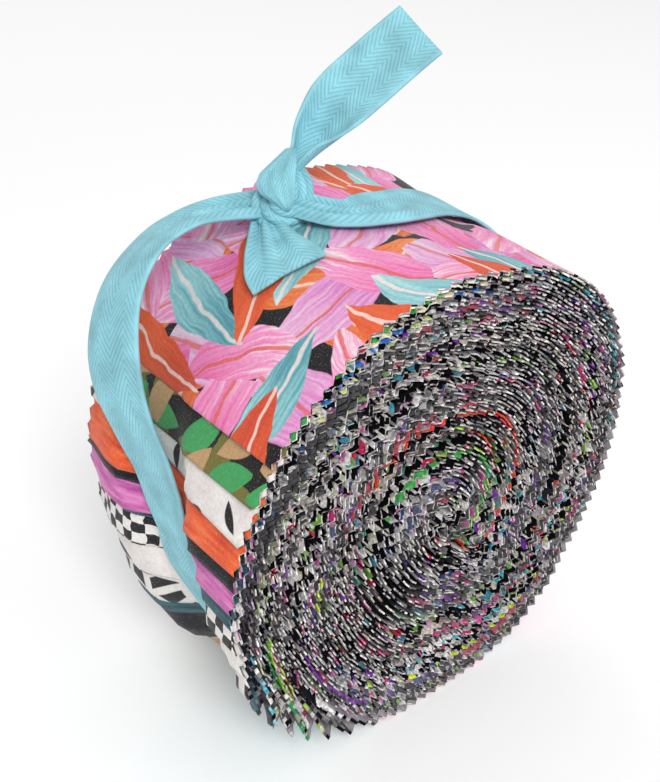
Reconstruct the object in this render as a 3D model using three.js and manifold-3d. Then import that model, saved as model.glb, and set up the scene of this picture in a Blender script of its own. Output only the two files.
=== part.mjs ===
// A roll of precut quilting cotton strips, standing on its rim and tied with a cotton twill tape.
// Millimetres, +Z up. The roll's axis lies along Y, and the end that is seen first faces -Y.
// The origin is the middle of the flat spot that the roll rests on.
import * as THREE from "three";
import { mergeVertices } from "three/addons/utils/BufferGeometryUtils.js";
import Module from "manifold-3d";

// The cloth
const STRIP_WIDTH = 63.5;
const AXIS_HEIGHT = 59.3;
const MEAN_RADIUS = 59;
const COLUMN_STEP = 4.5;
const TURN_ROWS = [0, 0.11, 0.5, 0.89, 1];
const GROOVE_DEPTH = 2.2;
const GROOVE_FADE = 70;
const SHOULDER_DEPTH = 0.5;
const EYE_DEPTH = 1.8;
const FACE_WAVE = 0.5;
const TWO_FOLD_SHARE = 0.6;
const THREE_FOLD_SHARE = 0.4;
const CLOTH_COLOR = 0x8a8688;
const CLOTH_ROUGHNESS = 0.95;

// The tape
const TAPE_WIDTH = 16;
const TAPE_THICKNESS = 1;
const TAPE_COLOR = 0x78bece;
const TAPE_ROUGHNESS = 0.85;
const GAP = 0.4;
const LAY_GAP = 0.8;
const WAIST_FLAT = 9.2;
const WAIST_SHOULDER = 11;
const WAIST_EDGE = 14;
const TUCK_START = 50;

// Parts of the section are measured from the roll's axis. Angles are in degrees, seen from -Y:
// 0 points to +X, 90 points up, and they grow anticlockwise.

// The roll's outline under the loose strip ends
const OUTLINE = [
  { angle: 6, radius: 56.4 },
  { angle: 22, radius: 58.1 },
  { angle: 39, radius: 59.4 },
  { angle: 58, radius: 60.0 },
  { angle: 79, radius: 59.7 },
  { angle: 98, radius: 60.9 },
  { angle: 114, radius: 61.4 },
  { angle: 132, radius: 60.6 },
  { angle: 150, radius: 59.6 },
  { angle: 166, radius: 58.9 },
  { angle: 182, radius: 58.5 },
  { angle: 198, radius: 58.2 },
  { angle: 214, radius: 58.1 },
  { angle: 230, radius: 58.4 },
  { angle: 246, radius: 59.3 },
  { angle: 262, radius: 60.6 },
  { angle: 278, radius: 60.8 },
  { angle: 294, radius: 61.5 },
  { angle: 308, radius: 60.2 },
  { angle: 322, radius: 56.6 },
  { angle: 338, radius: 55.4 },
  { angle: 352, radius: 55.7 },
];

// The strips' outer ends stop one bunch after another. Each bunch lifts off over its run, stands
// proud by its rise at its end angle, and then stops. Its end lies askew by so many degrees, from the
// front of the roll to the back.
const STRIP_ENDS = [
  { end: 151, run: 15, rise: 0.4, skew: 3 },
  { end: 159, run: 12, rise: 0.6, skew: -2 },
  { end: 167, run: 11, rise: 0.4, skew: 4 },
  { end: 177, run: 13, rise: 0.7, skew: 1 },
  { end: 186, run: 11, rise: 0.5, skew: -3 },
  { end: 194, run: 14, rise: 0.9, skew: 3 },
  { end: 202, run: 15, rise: 2.0, skew: 0 },
  { end: 208, run: 10, rise: 1.0, skew: -2 },
  { end: 216, run: 15, rise: 3.2, skew: 2 },
  { end: 222, run: 10, rise: 1.4, skew: 0 },
  { end: 229, run: 14, rise: 3.6, skew: -2 },
  { end: 235, run: 10, rise: 1.8, skew: 1 },
  { end: 243, run: 14, rise: 2.8, skew: 2 },
  { end: 251, run: 12, rise: 1.2, skew: -1 },
];
const END_STEP = 0.7;
const SKEW_REACH = 5;

// The edge between one turn of the stack and the next: its share of the outline's radius, against the
// angle wound. The last turn's angles are those of the outline.
const TURN_EDGE = [
  { wound: -1020, share: 0.0 },
  { wound: -900, share: 0.07 },
  { wound: -830, share: 0.14 },
  { wound: -760, share: 0.21 },
  { wound: -690, share: 0.28 },
  { wound: -620, share: 0.34 },
  { wound: -547, share: 0.42 },
  { wound: -480, share: 0.54 },
  { wound: -423, share: 0.62 },
  { wound: -330, share: 0.66 },
  { wound: -210, share: 0.69 },
  { wound: -160, share: 0.82 },
  { wound: -110, share: 1.0 },
];
const WOUND_START = -783;
const WOUND_END = 234;

// The tape's route: how far its middle lies behind the front end, and how deep it draws in the roll
const WAIST = [
  { angle: 15, across: 37, depth: 1.8, behind: 14, tuck: 0.0 },
  { angle: 40, across: 40, depth: 1.4, behind: 14, tuck: 0.0 },
  { angle: 60, across: 39.5, depth: 1.1, behind: 14, tuck: -1.2 },
  { angle: 76, across: 36, depth: 0.8, behind: 14, tuck: -1.2 },
  { angle: 92, across: 38, depth: 0.5, behind: 14, tuck: 0.0 },
  { angle: 108, across: 47, depth: 0.2, behind: 14, tuck: 0.0 },
  { angle: 126, across: 48, depth: 0.0, behind: 14, tuck: 0.0 },
  { angle: 144, across: 42, depth: 0.8, behind: 14, tuck: 0.0 },
  { angle: 162, across: 34, depth: 3.4, behind: 15, tuck: 1.0 },
  { angle: 180, across: 26.5, depth: 4.8, behind: 18, tuck: 3.0 },
  { angle: 200, across: 20, depth: 5.6, behind: 24, tuck: 3.4 },
  { angle: 225, across: 16.5, depth: 5.2, behind: 24, tuck: 0.4 },
  { angle: 250, across: 15.5, depth: 4.4, behind: 18, tuck: 0.0 },
  { angle: 270, across: 16, depth: 4.0, behind: 14, tuck: 0.0 },
  { angle: 295, across: 19, depth: 3.8, behind: 14, tuck: 0.0 },
  { angle: 325, across: 26, depth: 2.2, behind: 14, tuck: 0.0 },
  { angle: 350, across: 33, depth: 1.8, behind: 14, tuck: 0.0 },
];

// The stretches of tape near the knot, one of them the short free end: the middle's angle, how far it
// is behind the front end, its lift above the roll, and its width where it is gathered.
const FROM_KNOT_LEFT = [
  { angle: 101, across: 48.5, lift: 4.6, width: 11 },
  { angle: 105, across: 50, lift: 5.2, width: 14 },
  { angle: 111, across: 51, lift: 6.8, width: 16 },
  { angle: 118, across: 51.5, lift: 9.2, width: 16 },
  { angle: 124, across: 51, lift: 11.4, width: 16 },
  { angle: 130, across: 49.5, lift: 12.8, width: 16 },
  { angle: 136, across: 47, lift: 12.9, width: 16 },
  { angle: 142, across: 44, lift: 11.4, width: 16 },
  { angle: 148, across: 41, lift: 8.6, width: 16 },
  { angle: 154, across: 38, lift: 5.2, width: 16 },
  { angle: 160, across: 35, lift: 2.2, width: 16 },
];
const TO_KNOT_RIGHT = [
  { angle: 82, across: 34.8, lift: 0.3, width: 15 },
  { angle: 87, across: 35.2, lift: 0.7, width: 12 },
  { angle: 91, across: 36.6, lift: 1.2, width: 9 },
  { angle: 94.2, across: 39.3, lift: 1.7, width: 7.5 },
  { angle: 96.3, across: 43, lift: 2.5, width: 7 },
  { angle: 97.6, across: 47.5, lift: 3.4, width: 7 },
];
const SHORT_END = [
  { angle: 104.3, across: 46.5, lift: 3.2, width: 6 },
  { angle: 106.2, across: 43.5, lift: 2.6, width: 7 },
  { angle: 108.3, across: 39.5, lift: 1.6, width: 10 },
  { angle: 110, across: 35.5, lift: 0.9, width: 13 },
  { angle: 111.5, across: 31.5, lift: 0.3, width: 15.5 },
  { angle: 112.5, across: 28, lift: 0, width: 16 },
];
const ON_ROLL_FROM = 166.5;
const ON_ROLL_TO = 436.5;

// The knot: wraps of gathered tape, pulled tight. A wrap's lean is clockwise from upright, seen from the
// front left, where the knot faces. Reach and depth are its half height and half depth, and it narrows by
// a share of its width towards its upper end.
const KNOT = { x: -9.8, y: 50, z: 67.2 };
const KNOT_SIDE = new THREE.Vector3(0.79, -0.613, 0);
const KNOT_UP = new THREE.Vector3(0.31, 0.4, 0.86).normalize();
const KNOT_STEPS = 24;
const WRAP_ROWS = [
  { share: -1, size: 0.58 },
  { share: -0.9, size: 0.86 },
  { share: -0.55, size: 0.98 },
  { share: 0, size: 1 },
  { share: 0.55, size: 0.98 },
  { share: 0.9, size: 0.86 },
  { share: 1, size: 0.58 },
];
const WRAPS = [
  { lean: 14, side: -0.4, up: 0.3, reach: 7.0, depth: 5.0, width: 8.4, narrow: 0.55 },
  { lean: 112, side: -0.6, up: -2.6, reach: 5.8, depth: 4.3, width: 5.6, narrow: 0.3 },
  { lean: 168, side: 3.4, up: -0.6, reach: 4.9, depth: 3.9, width: 5.0, narrow: 0.3 },
];

// The long free end, from the middle of the roll's front end: the middle of each section, its width, how
// far its middle is bowed, and its turn about the tape's own line.
const LONG_END = [
  { x: -8.2, y: 48.3, z: 68.4, width: 5.0, bow: -1.2, turn: 20 },
  { x: -5.3, y: 48.7, z: 71.4, width: 6.2, bow: -1.8, turn: 22 },
  { x: -2.1, y: 48.9, z: 74.4, width: 8.4, bow: -2.6, turn: 24 },
  { x: 1.2, y: 48.2, z: 77.6, width: 12.0, bow: -2.6, turn: 22 },
  { x: 5.0, y: 47.3, z: 81.4, width: 15.0, bow: -1.6, turn: 20 },
  { x: 10.7, y: 45.5, z: 86.0, width: 16.0, bow: -0.8, turn: 18 },
  { x: 16.4, y: 43.7, z: 90.4, width: 16.0, bow: -0.3, turn: 16 },
  { x: 21.5, y: 41.8, z: 94.3, width: 16.0, bow: -0.1, turn: 14 },
];
const END_TABS = 4;

const TURN = 360;
const radians = THREE.MathUtils.degToRad;
const smooth = (x) => THREE.MathUtils.smoothstep(x, 0, 1);

// Reads a table that goes once round the roll, and eases from each row to the next.
function round(table, column, angle) {
  const first = table[0].angle;
  const at = THREE.MathUtils.euclideanModulo(angle - first, TURN) + first;
  const next = table.findIndex((row) => row.angle > at);
  const b = next < 0 ? table[0] : table[next];
  const a = next < 0 ? table[table.length - 1] : table[next - 1];
  const span = THREE.MathUtils.euclideanModulo(b.angle - a.angle, TURN);
  return a[column] + (b[column] - a[column]) * smooth((at - a.angle) / span);
}

// Reads the share of the radius at which a turn of the stack ends.
function turnShare(wound) {
  const next = TURN_EDGE.findIndex((row) => row.wound > wound);
  if (next < 0) return 1;
  if (next === 0) return 0;
  const a = TURN_EDGE[next - 1];
  const b = TURN_EDGE[next];
  return a.share + ((b.share - a.share) * (wound - a.wound)) / (b.wound - a.wound);
}

// How much of the waist is felt this far behind the tape's middle: 1 under the tape, 0 past its edge.
function waistShare(offset, behind) {
  const edge = offset > 0 ? behind : WAIST_EDGE;
  return 1 - smooth((Math.abs(offset) - WAIST_FLAT) / (edge - WAIST_FLAT));
}

// How far the loose strip ends stand proud of the outline, at an angle of the front end.
function endsRise(angle) {
  let rise = 0;
  for (const bunch of STRIP_ENDS) {
    const along = (angle - bunch.end + bunch.run) / bunch.run;
    if (along > 0 && along <= 1) rise += bunch.rise * along * along;
  }
  return rise;
}

// How far a lengthwise line strays from its own angle, so that it follows the strip ends near it.
function skewOf(angle, across) {
  let skew = 0;
  for (const bunch of STRIP_ENDS) {
    const near = 1 - Math.abs(angle - bunch.end - END_STEP / 2) / SKEW_REACH;
    if (near > 0) skew = Math.abs(bunch.skew * near) > Math.abs(skew) ? bunch.skew * near : skew;
  }
  return skew * (across / STRIP_WIDTH);
}

// A point given by its angle and distance from the axis, and its distance behind the front end.
function place(angle, radius, across) {
  const turn = radians(angle);
  const x = radius * Math.cos(turn);
  const z = AXIS_HEIGHT + radius * Math.sin(turn);
  return new THREE.Vector3(x, across - STRIP_WIDTH / 2, z);
}

// A point of the rim on the lengthwise line that starts at this angle of the front end.
function rimPoint(angle, across) {
  const strayed = angle + skewOf(angle, across);
  const share = waistShare(across - round(WAIST, "across", strayed), round(WAIST, "behind", strayed));
  const tuck = smooth((across - TUCK_START) / (STRIP_WIDTH - TUCK_START)) * round(WAIST, "tuck", strayed);
  const outline = round(OUTLINE, "radius", strayed) - round(WAIST, "depth", strayed) * share - tuck;
  const full = outline + endsRise(angle) * (1 - share);
  const down = -Math.sin(radians(strayed));
  return place(strayed, down > 0 ? Math.min(full, AXIS_HEIGHT / down) : full, across);
}

// The angles of the roll's lengthwise lines: an even step, and a pair at each strip end.
function columnAngles() {
  const angles = STRIP_ENDS.flatMap((bunch) => [bunch.end, bunch.end + END_STEP]);
  const near = (angle) => angles.some((other) => Math.abs(other - angle) < COLUMN_STEP / 3);
  const even = [];
  for (let angle = 0; angle < TURN; angle += COLUMN_STEP) {
    if (!near(angle)) even.push(angle);
  }
  return [...angles, ...even].sort((a, b) => a - b);
}

// How far behind the front end the rim's rings lie at an angle.
function ringPlaces(angle) {
  const strayed = angle + skewOf(angle, round(WAIST, "across", angle));
  const margin = WAIST_EDGE + 1;
  const middle = THREE.MathUtils.clamp(round(WAIST, "across", strayed), margin, STRIP_WIDTH - margin);
  const near = [WAIST_EDGE, WAIST_SHOULDER, WAIST_FLAT].map((offset) => middle - offset);
  const behind = round(WAIST, "behind", strayed);
  const slope = (WAIST_SHOULDER - WAIST_FLAT) / (WAIST_EDGE - WAIST_FLAT);
  const shoulder = WAIST_FLAT + (behind - WAIST_FLAT) * slope;
  const far = [WAIST_FLAT, shoulder, behind].map((offset) => middle + offset);
  return [0, near[0] / 2, ...near, ...far, (far[2] + STRIP_WIDTH) / 2, STRIP_WIDTH];
}

// The small unevenness of the strips' edges on the two ends.
function faceWave(angle) {
  const turn = radians(angle);
  return FACE_WAVE * (1 + TWO_FOLD_SHARE * Math.sin(2 * turn) + THREE_FOLD_SHARE * Math.sin(3 * turn));
}

// One end of the roll: the stack's turns as a spiral of rows with a groove between turns. rim holds the
// rim's corners, one for each column, and inward is 1 for the front end and -1 for the back.
function windEnd(mesh, columns, rim, face, inward) {
  const count = columns.length;
  const angleOf = (step) => columns[THREE.MathUtils.euclideanModulo(step, count)];
  const woundOf = (step) => angleOf(step) + TURN * Math.floor(step / count);
  const stepAt = (wound) => {
    const turns = Math.floor(wound / TURN);
    const within = columns.findIndex((angle) => angle >= wound - turns * TURN);
    return within < 0 ? (turns + 1) * count : turns * count + within;
  };
  const first = stepAt(WOUND_START);
  const last = stepAt(WOUND_END);
  const top = TURN_ROWS.length - 1;
  const edge = (wound) => round(OUTLINE, "radius", wound) * turnShare(wound);
  const eye = mesh.corner(new THREE.Vector3(0, face + inward * EYE_DEPTH, AXIS_HEIGHT));
  const made = new Map();
  const corner = (step, row) => {
    if (row === 0 && step - count >= first) return corner(step - count, top);
    const wound = woundOf(step);
    if (row === top && step > last - count) return rim[THREE.MathUtils.euclideanModulo(step, count)];
    if (row === 0 && turnShare(wound - TURN) <= 0) return eye;
    const key = `${step} ${row}`;
    if (!made.has(key)) {
      const inner = edge(wound - TURN);
      const radius = inner + (edge(wound) - inner) * TURN_ROWS[row];
      const groove = GROOVE_DEPTH * smooth((WOUND_END - wound - (row === top ? TURN : 0)) / GROOVE_FADE);
      const depth = row === 0 || row === top ? groove : row === 2 ? 0 : SHOULDER_DEPTH;
      const point = place(angleOf(step), radius, 0);
      point.y = face + inward * (depth + faceWave(wound));
      made.set(key, mesh.corner(point));
    }
    return made.get(key);
  };
  const side = (a, b, c) => (inward > 0 ? mesh.triangle(a, b, c) : mesh.triangle(a, c, b));
  for (let step = first; step < last; step += 1) {
    for (let row = 0; row < top; row += 1) {
      side(corner(step, row), corner(step, row + 1), corner(step + 1, row + 1));
      side(corner(step, row), corner(step + 1, row + 1), corner(step + 1, row));
    }
  }
  // Where the stack runs out, the turn inside it takes over the rim.
  const lastInner = last - count;
  for (let row = 0; row < top; row += 1) {
    side(corner(last, row), corner(last, row + 1), corner(lastInner + 1, top));
  }
  // The fold at the middle, between the eye and the first full turn.
  for (let step = first; step < first + count; step += 1) {
    if (step === first + count - 1) {
      for (let row = 0; row < top; row += 1) {
        side(corner(first, row), corner(step, 0), corner(first, row + 1));
      }
    } else {
      side(eye, corner(step, 0), corner(step + 1, 0));
    }
  }
}

// Gathers corners and triangles, and leaves out triangles with no area.
class Skin {
  constructor() {
    this.corners = [];
    this.triangles = [];
  }

  corner(point) {
    this.corners.push(point.x, point.y, point.z);
    return this.corners.length / 3 - 1;
  }

  triangle(a, b, c) {
    if (a !== b && b !== c && c !== a) this.triangles.push(a, b, c);
  }

  geometry() {
    const geometry = new THREE.BufferGeometry();
    geometry.setAttribute("position", new THREE.Float32BufferAttribute(this.corners, 3));
    geometry.setIndex(this.triangles);
    return geometry;
  }
}

function rollGeometry() {
  const skin = new Skin();
  const columns = columnAngles();
  const lines = columns.map((angle) => {
    const places = ringPlaces(angle);
    return places.map((across, ring) => {
      const point = rimPoint(angle, across);
      if (ring === 0) point.y += faceWave(angle);
      if (ring === places.length - 1) point.y -= faceWave(angle);
      return skin.corner(point);
    });
  });
  const rings = lines[0].length;
  lines.forEach((line, index) => {
    const next = lines[(index + 1) % lines.length];
    for (let ring = 0; ring + 1 < rings; ring += 1) {
      skin.triangle(line[ring], line[ring + 1], next[ring + 1]);
      skin.triangle(line[ring], next[ring + 1], next[ring]);
    }
  });
  const front = lines.map((line) => line[0]);
  const back = lines.map((line) => line[rings - 1]);
  windEnd(skin, columns, front, -STRIP_WIDTH / 2, 1);
  windEnd(skin, columns, back, STRIP_WIDTH / 2, -1);
  return skin.geometry();
}

// A closed solid through rings of points. Each ring runs along one face of the tape and back along
// the other, so that a flat end is a ladder between its two halves.
function loft(rings) {
  const skin = new Skin();
  const rows = rings.map((ring) => ring.map((point) => skin.corner(point)));
  const sides = rings[0].length;
  for (let row = 0; row + 1 < rows.length; row += 1) {
    for (let side = 0; side < sides; side += 1) {
      const next = (side + 1) % sides;
      const [here, there] = [rows[row], rows[row + 1]];
      // Both faces are cut along the same diagonal, so that thin tape never crosses itself.
      if (side < sides / 2) {
        skin.triangle(here[side], here[next], there[next]);
        skin.triangle(here[side], there[next], there[side]);
      } else {
        skin.triangle(here[side], here[next], there[side]);
        skin.triangle(here[next], there[next], there[side]);
      }
    }
  }
  const start = rows[0];
  const end = rows[rows.length - 1];
  for (let side = 0; side + 1 < sides / 2; side += 1) {
    const across = sides - 1 - side;
    skin.triangle(start[side], start[across], start[across - 1]);
    skin.triangle(start[side], start[across - 1], start[side + 1]);
    skin.triangle(end[side], end[across - 1], end[across]);
    skin.triangle(end[side], end[side + 1], end[across - 1]);
  }
  return skin.geometry();
}

// The outline of the tape's section: tabs along one face, back along the other, bowed by the sagitta.
function tapeRing(middle, wide, normal, width, bow) {
  const faces = [1, -1].map((face) => {
    const row = [];
    for (let tab = 0; tab <= END_TABS; tab += 1) {
      const share = (tab / END_TABS) * 2 - 1;
      const rise = bow * (1 - share * share) + (face * TAPE_THICKNESS) / 2;
      const point = middle.clone().addScaledVector(wide, (share * width) / 2);
      row.push(point.addScaledVector(normal, rise));
    }
    return row;
  });
  return [...faces[0], ...faces[1].reverse()];
}

// The direction from each point to the next, taken over both neighbours.
function directions(points) {
  return points.map((point, index) => {
    const before = points[Math.max(index - 1, 0)];
    const after = points[Math.min(index + 1, points.length - 1)];
    return after.clone().sub(before).normalize();
  });
}

// The rows of the stretch that lies in the waist.
function rowsOnRoll() {
  const rows = [];
  for (let angle = ON_ROLL_FROM; angle <= ON_ROLL_TO; angle += COLUMN_STEP) {
    rows.push({ angle, across: round(WAIST, "across", angle), lift: 0, width: TAPE_WIDTH });
  }
  return rows;
}

// Tape that goes along or round the roll. Each point of a section follows the roll's surface under it,
// at the section's lift.
function lyingTape(rows) {
  const unrolled = rows.map((row) => new THREE.Vector2(radians(row.angle) * MEAN_RADIUS, row.across));
  const rings = rows.map((row, index) => {
    const before = unrolled[Math.max(index - 1, 0)];
    const after = unrolled[Math.min(index + 1, rows.length - 1)];
    const along = after.clone().sub(before).normalize();
    const tabs = [];
    for (let tab = 0; tab <= END_TABS; tab += 1) {
      const aside = (tab / END_TABS - 0.5) * row.width;
      const angle = row.angle + THREE.MathUtils.radToDeg((along.y * aside) / MEAN_RADIUS);
      const across = row.across - along.x * aside;
      const floor = round(OUTLINE, "radius", angle) - round(WAIST, "depth", angle);
      tabs.push({ angle, across, radius: floor + LAY_GAP + row.lift });
    }
    const under = tabs.map((tab) => place(tab.angle, tab.radius, tab.across));
    const over = tabs.map((tab) => place(tab.angle, tab.radius + TAPE_THICKNESS, tab.across));
    return [...under, ...over.reverse()];
  });
  return loft(rings);
}

// The tape round the roll, from the knot's left side, down the left and under, to its right side.
function bandGeometry() {
  const toKnot = TO_KNOT_RIGHT.map((row) => ({ ...row, angle: row.angle + TURN }));
  return lyingTape([...FROM_KNOT_LEFT, ...rowsOnRoll(), ...toKnot]);
}

// One wrap of the knot: a tape's width of rounded ovals, thicker all round by grow.
function wrapGeometry(wrap, grow) {
  const lean = radians(wrap.lean);
  const out = new THREE.Vector3().crossVectors(KNOT_SIDE, KNOT_UP).normalize();
  const long = KNOT_UP.clone().multiplyScalar(Math.cos(lean)).addScaledVector(KNOT_SIDE, Math.sin(lean));
  const wide = new THREE.Vector3().crossVectors(long, out).normalize();
  const middle = fromAxis(KNOT).addScaledVector(KNOT_SIDE, wrap.side).addScaledVector(KNOT_UP, wrap.up);
  const rings = WRAP_ROWS.map((row) => {
    const ring = [];
    for (let step = 0; step < KNOT_STEPS; step += 1) {
      const turn = (step / KNOT_STEPS) * 2 * Math.PI;
      const ahead = Math.cos(turn);
      const halfWidth = (wrap.width / 2) * (1 - wrap.narrow * smooth(ahead)) + grow;
      const point = middle.clone().addScaledVector(wide, row.share * halfWidth);
      point.addScaledVector(long, (wrap.reach * row.size + grow) * ahead);
      ring.push(point.addScaledVector(out, (wrap.depth * row.size + grow) * Math.sin(turn)));
    }
    return ring;
  });
  return loft(rings);
}

// A point given from the middle of the roll's front end.
function fromAxis(row) {
  return new THREE.Vector3(row.x, row.y - STRIP_WIDTH / 2, row.z + AXIS_HEIGHT);
}

// The whole knot as one solid, thicker all round by grow.
function knotSolid(grow) {
  const wraps = WRAPS.map((wrap) => toSolid(wrapGeometry(wrap, grow)));
  return wraps.reduce((solid, wrap) => solid.add(wrap));
}

// The free end that stands up, through its table's sections.
function longEndGeometry() {
  const points = LONG_END.map((row) => fromAxis(row));
  const along = directions(points);
  const rings = LONG_END.map((row, index) => {
    const front = new THREE.Vector3(0, -1, 0);
    const wide = front.addScaledVector(along[index], -front.dot(along[index])).normalize();
    wide.applyAxisAngle(along[index], radians(row.turn));
    const normal = new THREE.Vector3().crossVectors(wide, along[index]).normalize();
    return tapeRing(points[index], wide, normal, row.width, row.bow);
  });
  return loft(rings);
}

const wasm = await Module();
wasm.setup();

function toSolid(geometry) {
  const merged = mergeVertices(geometry);
  const vertProperties = new Float32Array(merged.attributes.position.array);
  const triVerts = new Uint32Array(merged.index.array);
  return new wasm.Manifold(new wasm.Mesh({ numProp: 3, vertProperties, triVerts }));
}

function toGeometry(solid) {
  const mesh = solid.getMesh();
  const geometry = new THREE.BufferGeometry();
  geometry.setAttribute("position", new THREE.BufferAttribute(mesh.vertProperties, 3));
  geometry.setIndex(new THREE.BufferAttribute(mesh.triVerts, 1));
  return geometry;
}

// A stretch of tape as it comes out of the knot, clear of it by the gap.
function outOfKnot(geometry) {
  const pieces = toSolid(geometry).subtract(knotSolid(GAP)).decompose();
  return toGeometry(pieces.reduce((a, b) => (a.volume() > b.volume() ? a : b)));
}

const group = new THREE.Group();

function add(name, geometry, color, roughness) {
  const material = new THREE.MeshStandardMaterial({ color, roughness, metalness: 0 });
  const mesh = new THREE.Mesh(geometry, material);
  mesh.name = name;
  group.add(mesh);
}

add("fabric_roll", rollGeometry(), CLOTH_COLOR, CLOTH_ROUGHNESS);
add("tie_band", outOfKnot(bandGeometry()), TAPE_COLOR, TAPE_ROUGHNESS);
add("tie_knot", toGeometry(knotSolid(0)), TAPE_COLOR, TAPE_ROUGHNESS);
add("tie_end_long", outOfKnot(longEndGeometry()), TAPE_COLOR, TAPE_ROUGHNESS);
add("tie_end_short", outOfKnot(lyingTape(SHORT_END)), TAPE_COLOR, TAPE_ROUGHNESS);

export default group;
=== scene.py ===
"""A roll of quilting cotton strips, tied with twill tape: its cloth, its tape and the studio."""

import math

import bpy
import numpy as np
from mathutils import Matrix, Vector


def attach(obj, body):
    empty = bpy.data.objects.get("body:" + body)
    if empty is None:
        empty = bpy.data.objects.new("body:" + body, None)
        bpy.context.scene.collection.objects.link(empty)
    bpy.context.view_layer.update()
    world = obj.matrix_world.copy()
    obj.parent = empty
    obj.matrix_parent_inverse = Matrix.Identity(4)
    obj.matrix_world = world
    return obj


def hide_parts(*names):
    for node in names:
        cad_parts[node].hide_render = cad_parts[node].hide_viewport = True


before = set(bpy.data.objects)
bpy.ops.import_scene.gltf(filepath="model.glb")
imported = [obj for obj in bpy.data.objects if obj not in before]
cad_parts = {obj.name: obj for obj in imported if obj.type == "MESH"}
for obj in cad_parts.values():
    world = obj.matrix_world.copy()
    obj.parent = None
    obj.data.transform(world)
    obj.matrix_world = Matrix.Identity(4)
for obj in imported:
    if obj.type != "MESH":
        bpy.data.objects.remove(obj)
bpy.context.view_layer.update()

bl_info = {
    "name": "Quilting Strip Roll",
    "version": (1, 0, 0),
    "blender": (4, 5, 0),
    "location": "View3D > Sidebar > Strip Roll",
    "description": "Builds a tied roll of pinked quilting cotton strips",
    "category": "Add Mesh",
}


def table(columns, rows):
    """Rows of values as rows with named columns."""
    return [dict(zip(columns, row)) for row in rows]


# Sizes below are in millimetres and degrees, as cloth and tape are measured. Angles are seen from -Y:
# 0 points to +X, 90 points up, and they grow anticlockwise. "across" is the distance behind the front
# end of the roll, and "wound" is an angle that keeps counting over the turns of the roll.
MM = 0.001
TURN = 360.0
STRIP_WIDTH = 63.5
AXIS_HEIGHT = 59.3

OUTLINE = {
    "angle": [6, 22, 39, 58, 79, 98, 114, 132, 150, 166, 182, 198, 214, 230, 246, 262, 278, 294, 308,
              322, 338, 352],
    "radius": [56.4, 58.1, 59.4, 60.0, 59.7, 60.9, 61.4, 60.6, 59.6, 58.9, 58.5, 58.2, 58.1, 58.4, 59.3,
               60.6, 60.8, 61.5, 60.2, 56.6, 55.4, 55.7],
}
# Where the tape runs, and how deep it draws in the roll
WAIST = {
    "angle": [15, 40, 60, 76, 92, 108, 126, 144, 162, 180, 200, 225, 250, 270, 295, 325, 350],
    "across": [37, 40, 39.5, 36, 38, 47, 48, 42, 34, 26.5, 20, 16.5, 15.5, 16, 19, 26, 33],
    "depth": [1.8, 1.4, 1.1, 0.8, 0.5, 0.2, 0, 0.8, 3.4, 4.8, 5.6, 5.2, 4.4, 4.0, 3.8, 2.2, 1.8],
    "behind": [14, 14, 14, 14, 14, 14, 14, 14, 15, 18, 24, 24, 18, 14, 14, 14, 14],
    "tuck": [0, 0, -1.2, -1.2, 0, 0, 0, 0, 1, 3, 3.4, 0.4, 0, 0, 0, 0, 0],
}
WAIST_FLAT = 9.2
WAIST_EDGE = 14.0
TUCK_START = 50.0
# The edge between one turn of the stack and the next, as a share of the outline's radius
TURN_EDGE = {
    "wound": [-1020, -900, -830, -760, -690, -620, -547, -480, -423, -330, -210, -160, -110],
    "share": [0, 0.07, 0.14, 0.21, 0.28, 0.34, 0.42, 0.54, 0.62, 0.66, 0.69, 0.82, 1.0],
}
INNER_FOLD = {"wound": -795, "depth": 1.35}
OUTER_FOLD = {"wound": -418, "depth": 0.8}
FOLD_EASE = (-446, -410)
FOLD_POINTS = 14
POINT_STEP = 0.9

# A real stack has about 80 layers, 0.25 mm apart. They cling together in threes and fours, and each
# such group is drawn as one thicker layer, so that the turns can be told apart in the picture.
LAYERS = 24
LATE_LAYERS = 8
TOOTH_PITCH = 3.3
TOOTH_DEPTH = 1.35
TOOTH_STEPS = 6
SECTOR = 60.0
EDGE_BAND = 5.5
GROOVE_DEPTH = 2.0
BUNCH_BASE = 8.0
END_OVERLAP = 12.0
LIFT_RUN = 10.0
END_STAGGER = 0.5
WORN_CORNER = 3.4
WORN_REACH = 5.0

# The strips' outer ends, from the outermost: where each bunch of layers ends, how many layers it has,
# how far it stands off, the degrees that its end is askew, and the print that shows
STRIP_ENDS = table(("end", "layers", "lift", "skew", "print"), [
    (143, 1, 0.0, 2, "petals"),
    (151.5, 1, 0.2, 3, "foliage"),
    (160, 1, 0.3, -2, "seeds"),
    (166, 1, 0.2, 3, "brushed_orange"),
    (169.5, 1, 0.3, 1, "black"),
    (175.5, 1, 0.2, 2, "brushed_pink"),
    (179, 1, 0.3, -2, "teal"),
    (186, 1, 0.3, 1, "checks"),
    (194, 1, 0.8, 3, "seeds"),
    (202, 1, 2.0, 0, "pebbles"),
    (208, 2, 2.8, -2, "teal"),
    (216, 3, 3.8, 2, "black"),
    (222, 2, 3.4, 0, "checks"),
    (229, 3, 4.2, -2, "foliage"),
    (235, 1, 3.2, 1, "seeds"),
    (243, 2, 2.6, 2, "black"),
    (251, 1, 1.2, -1, "pebbles"),
])

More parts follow.
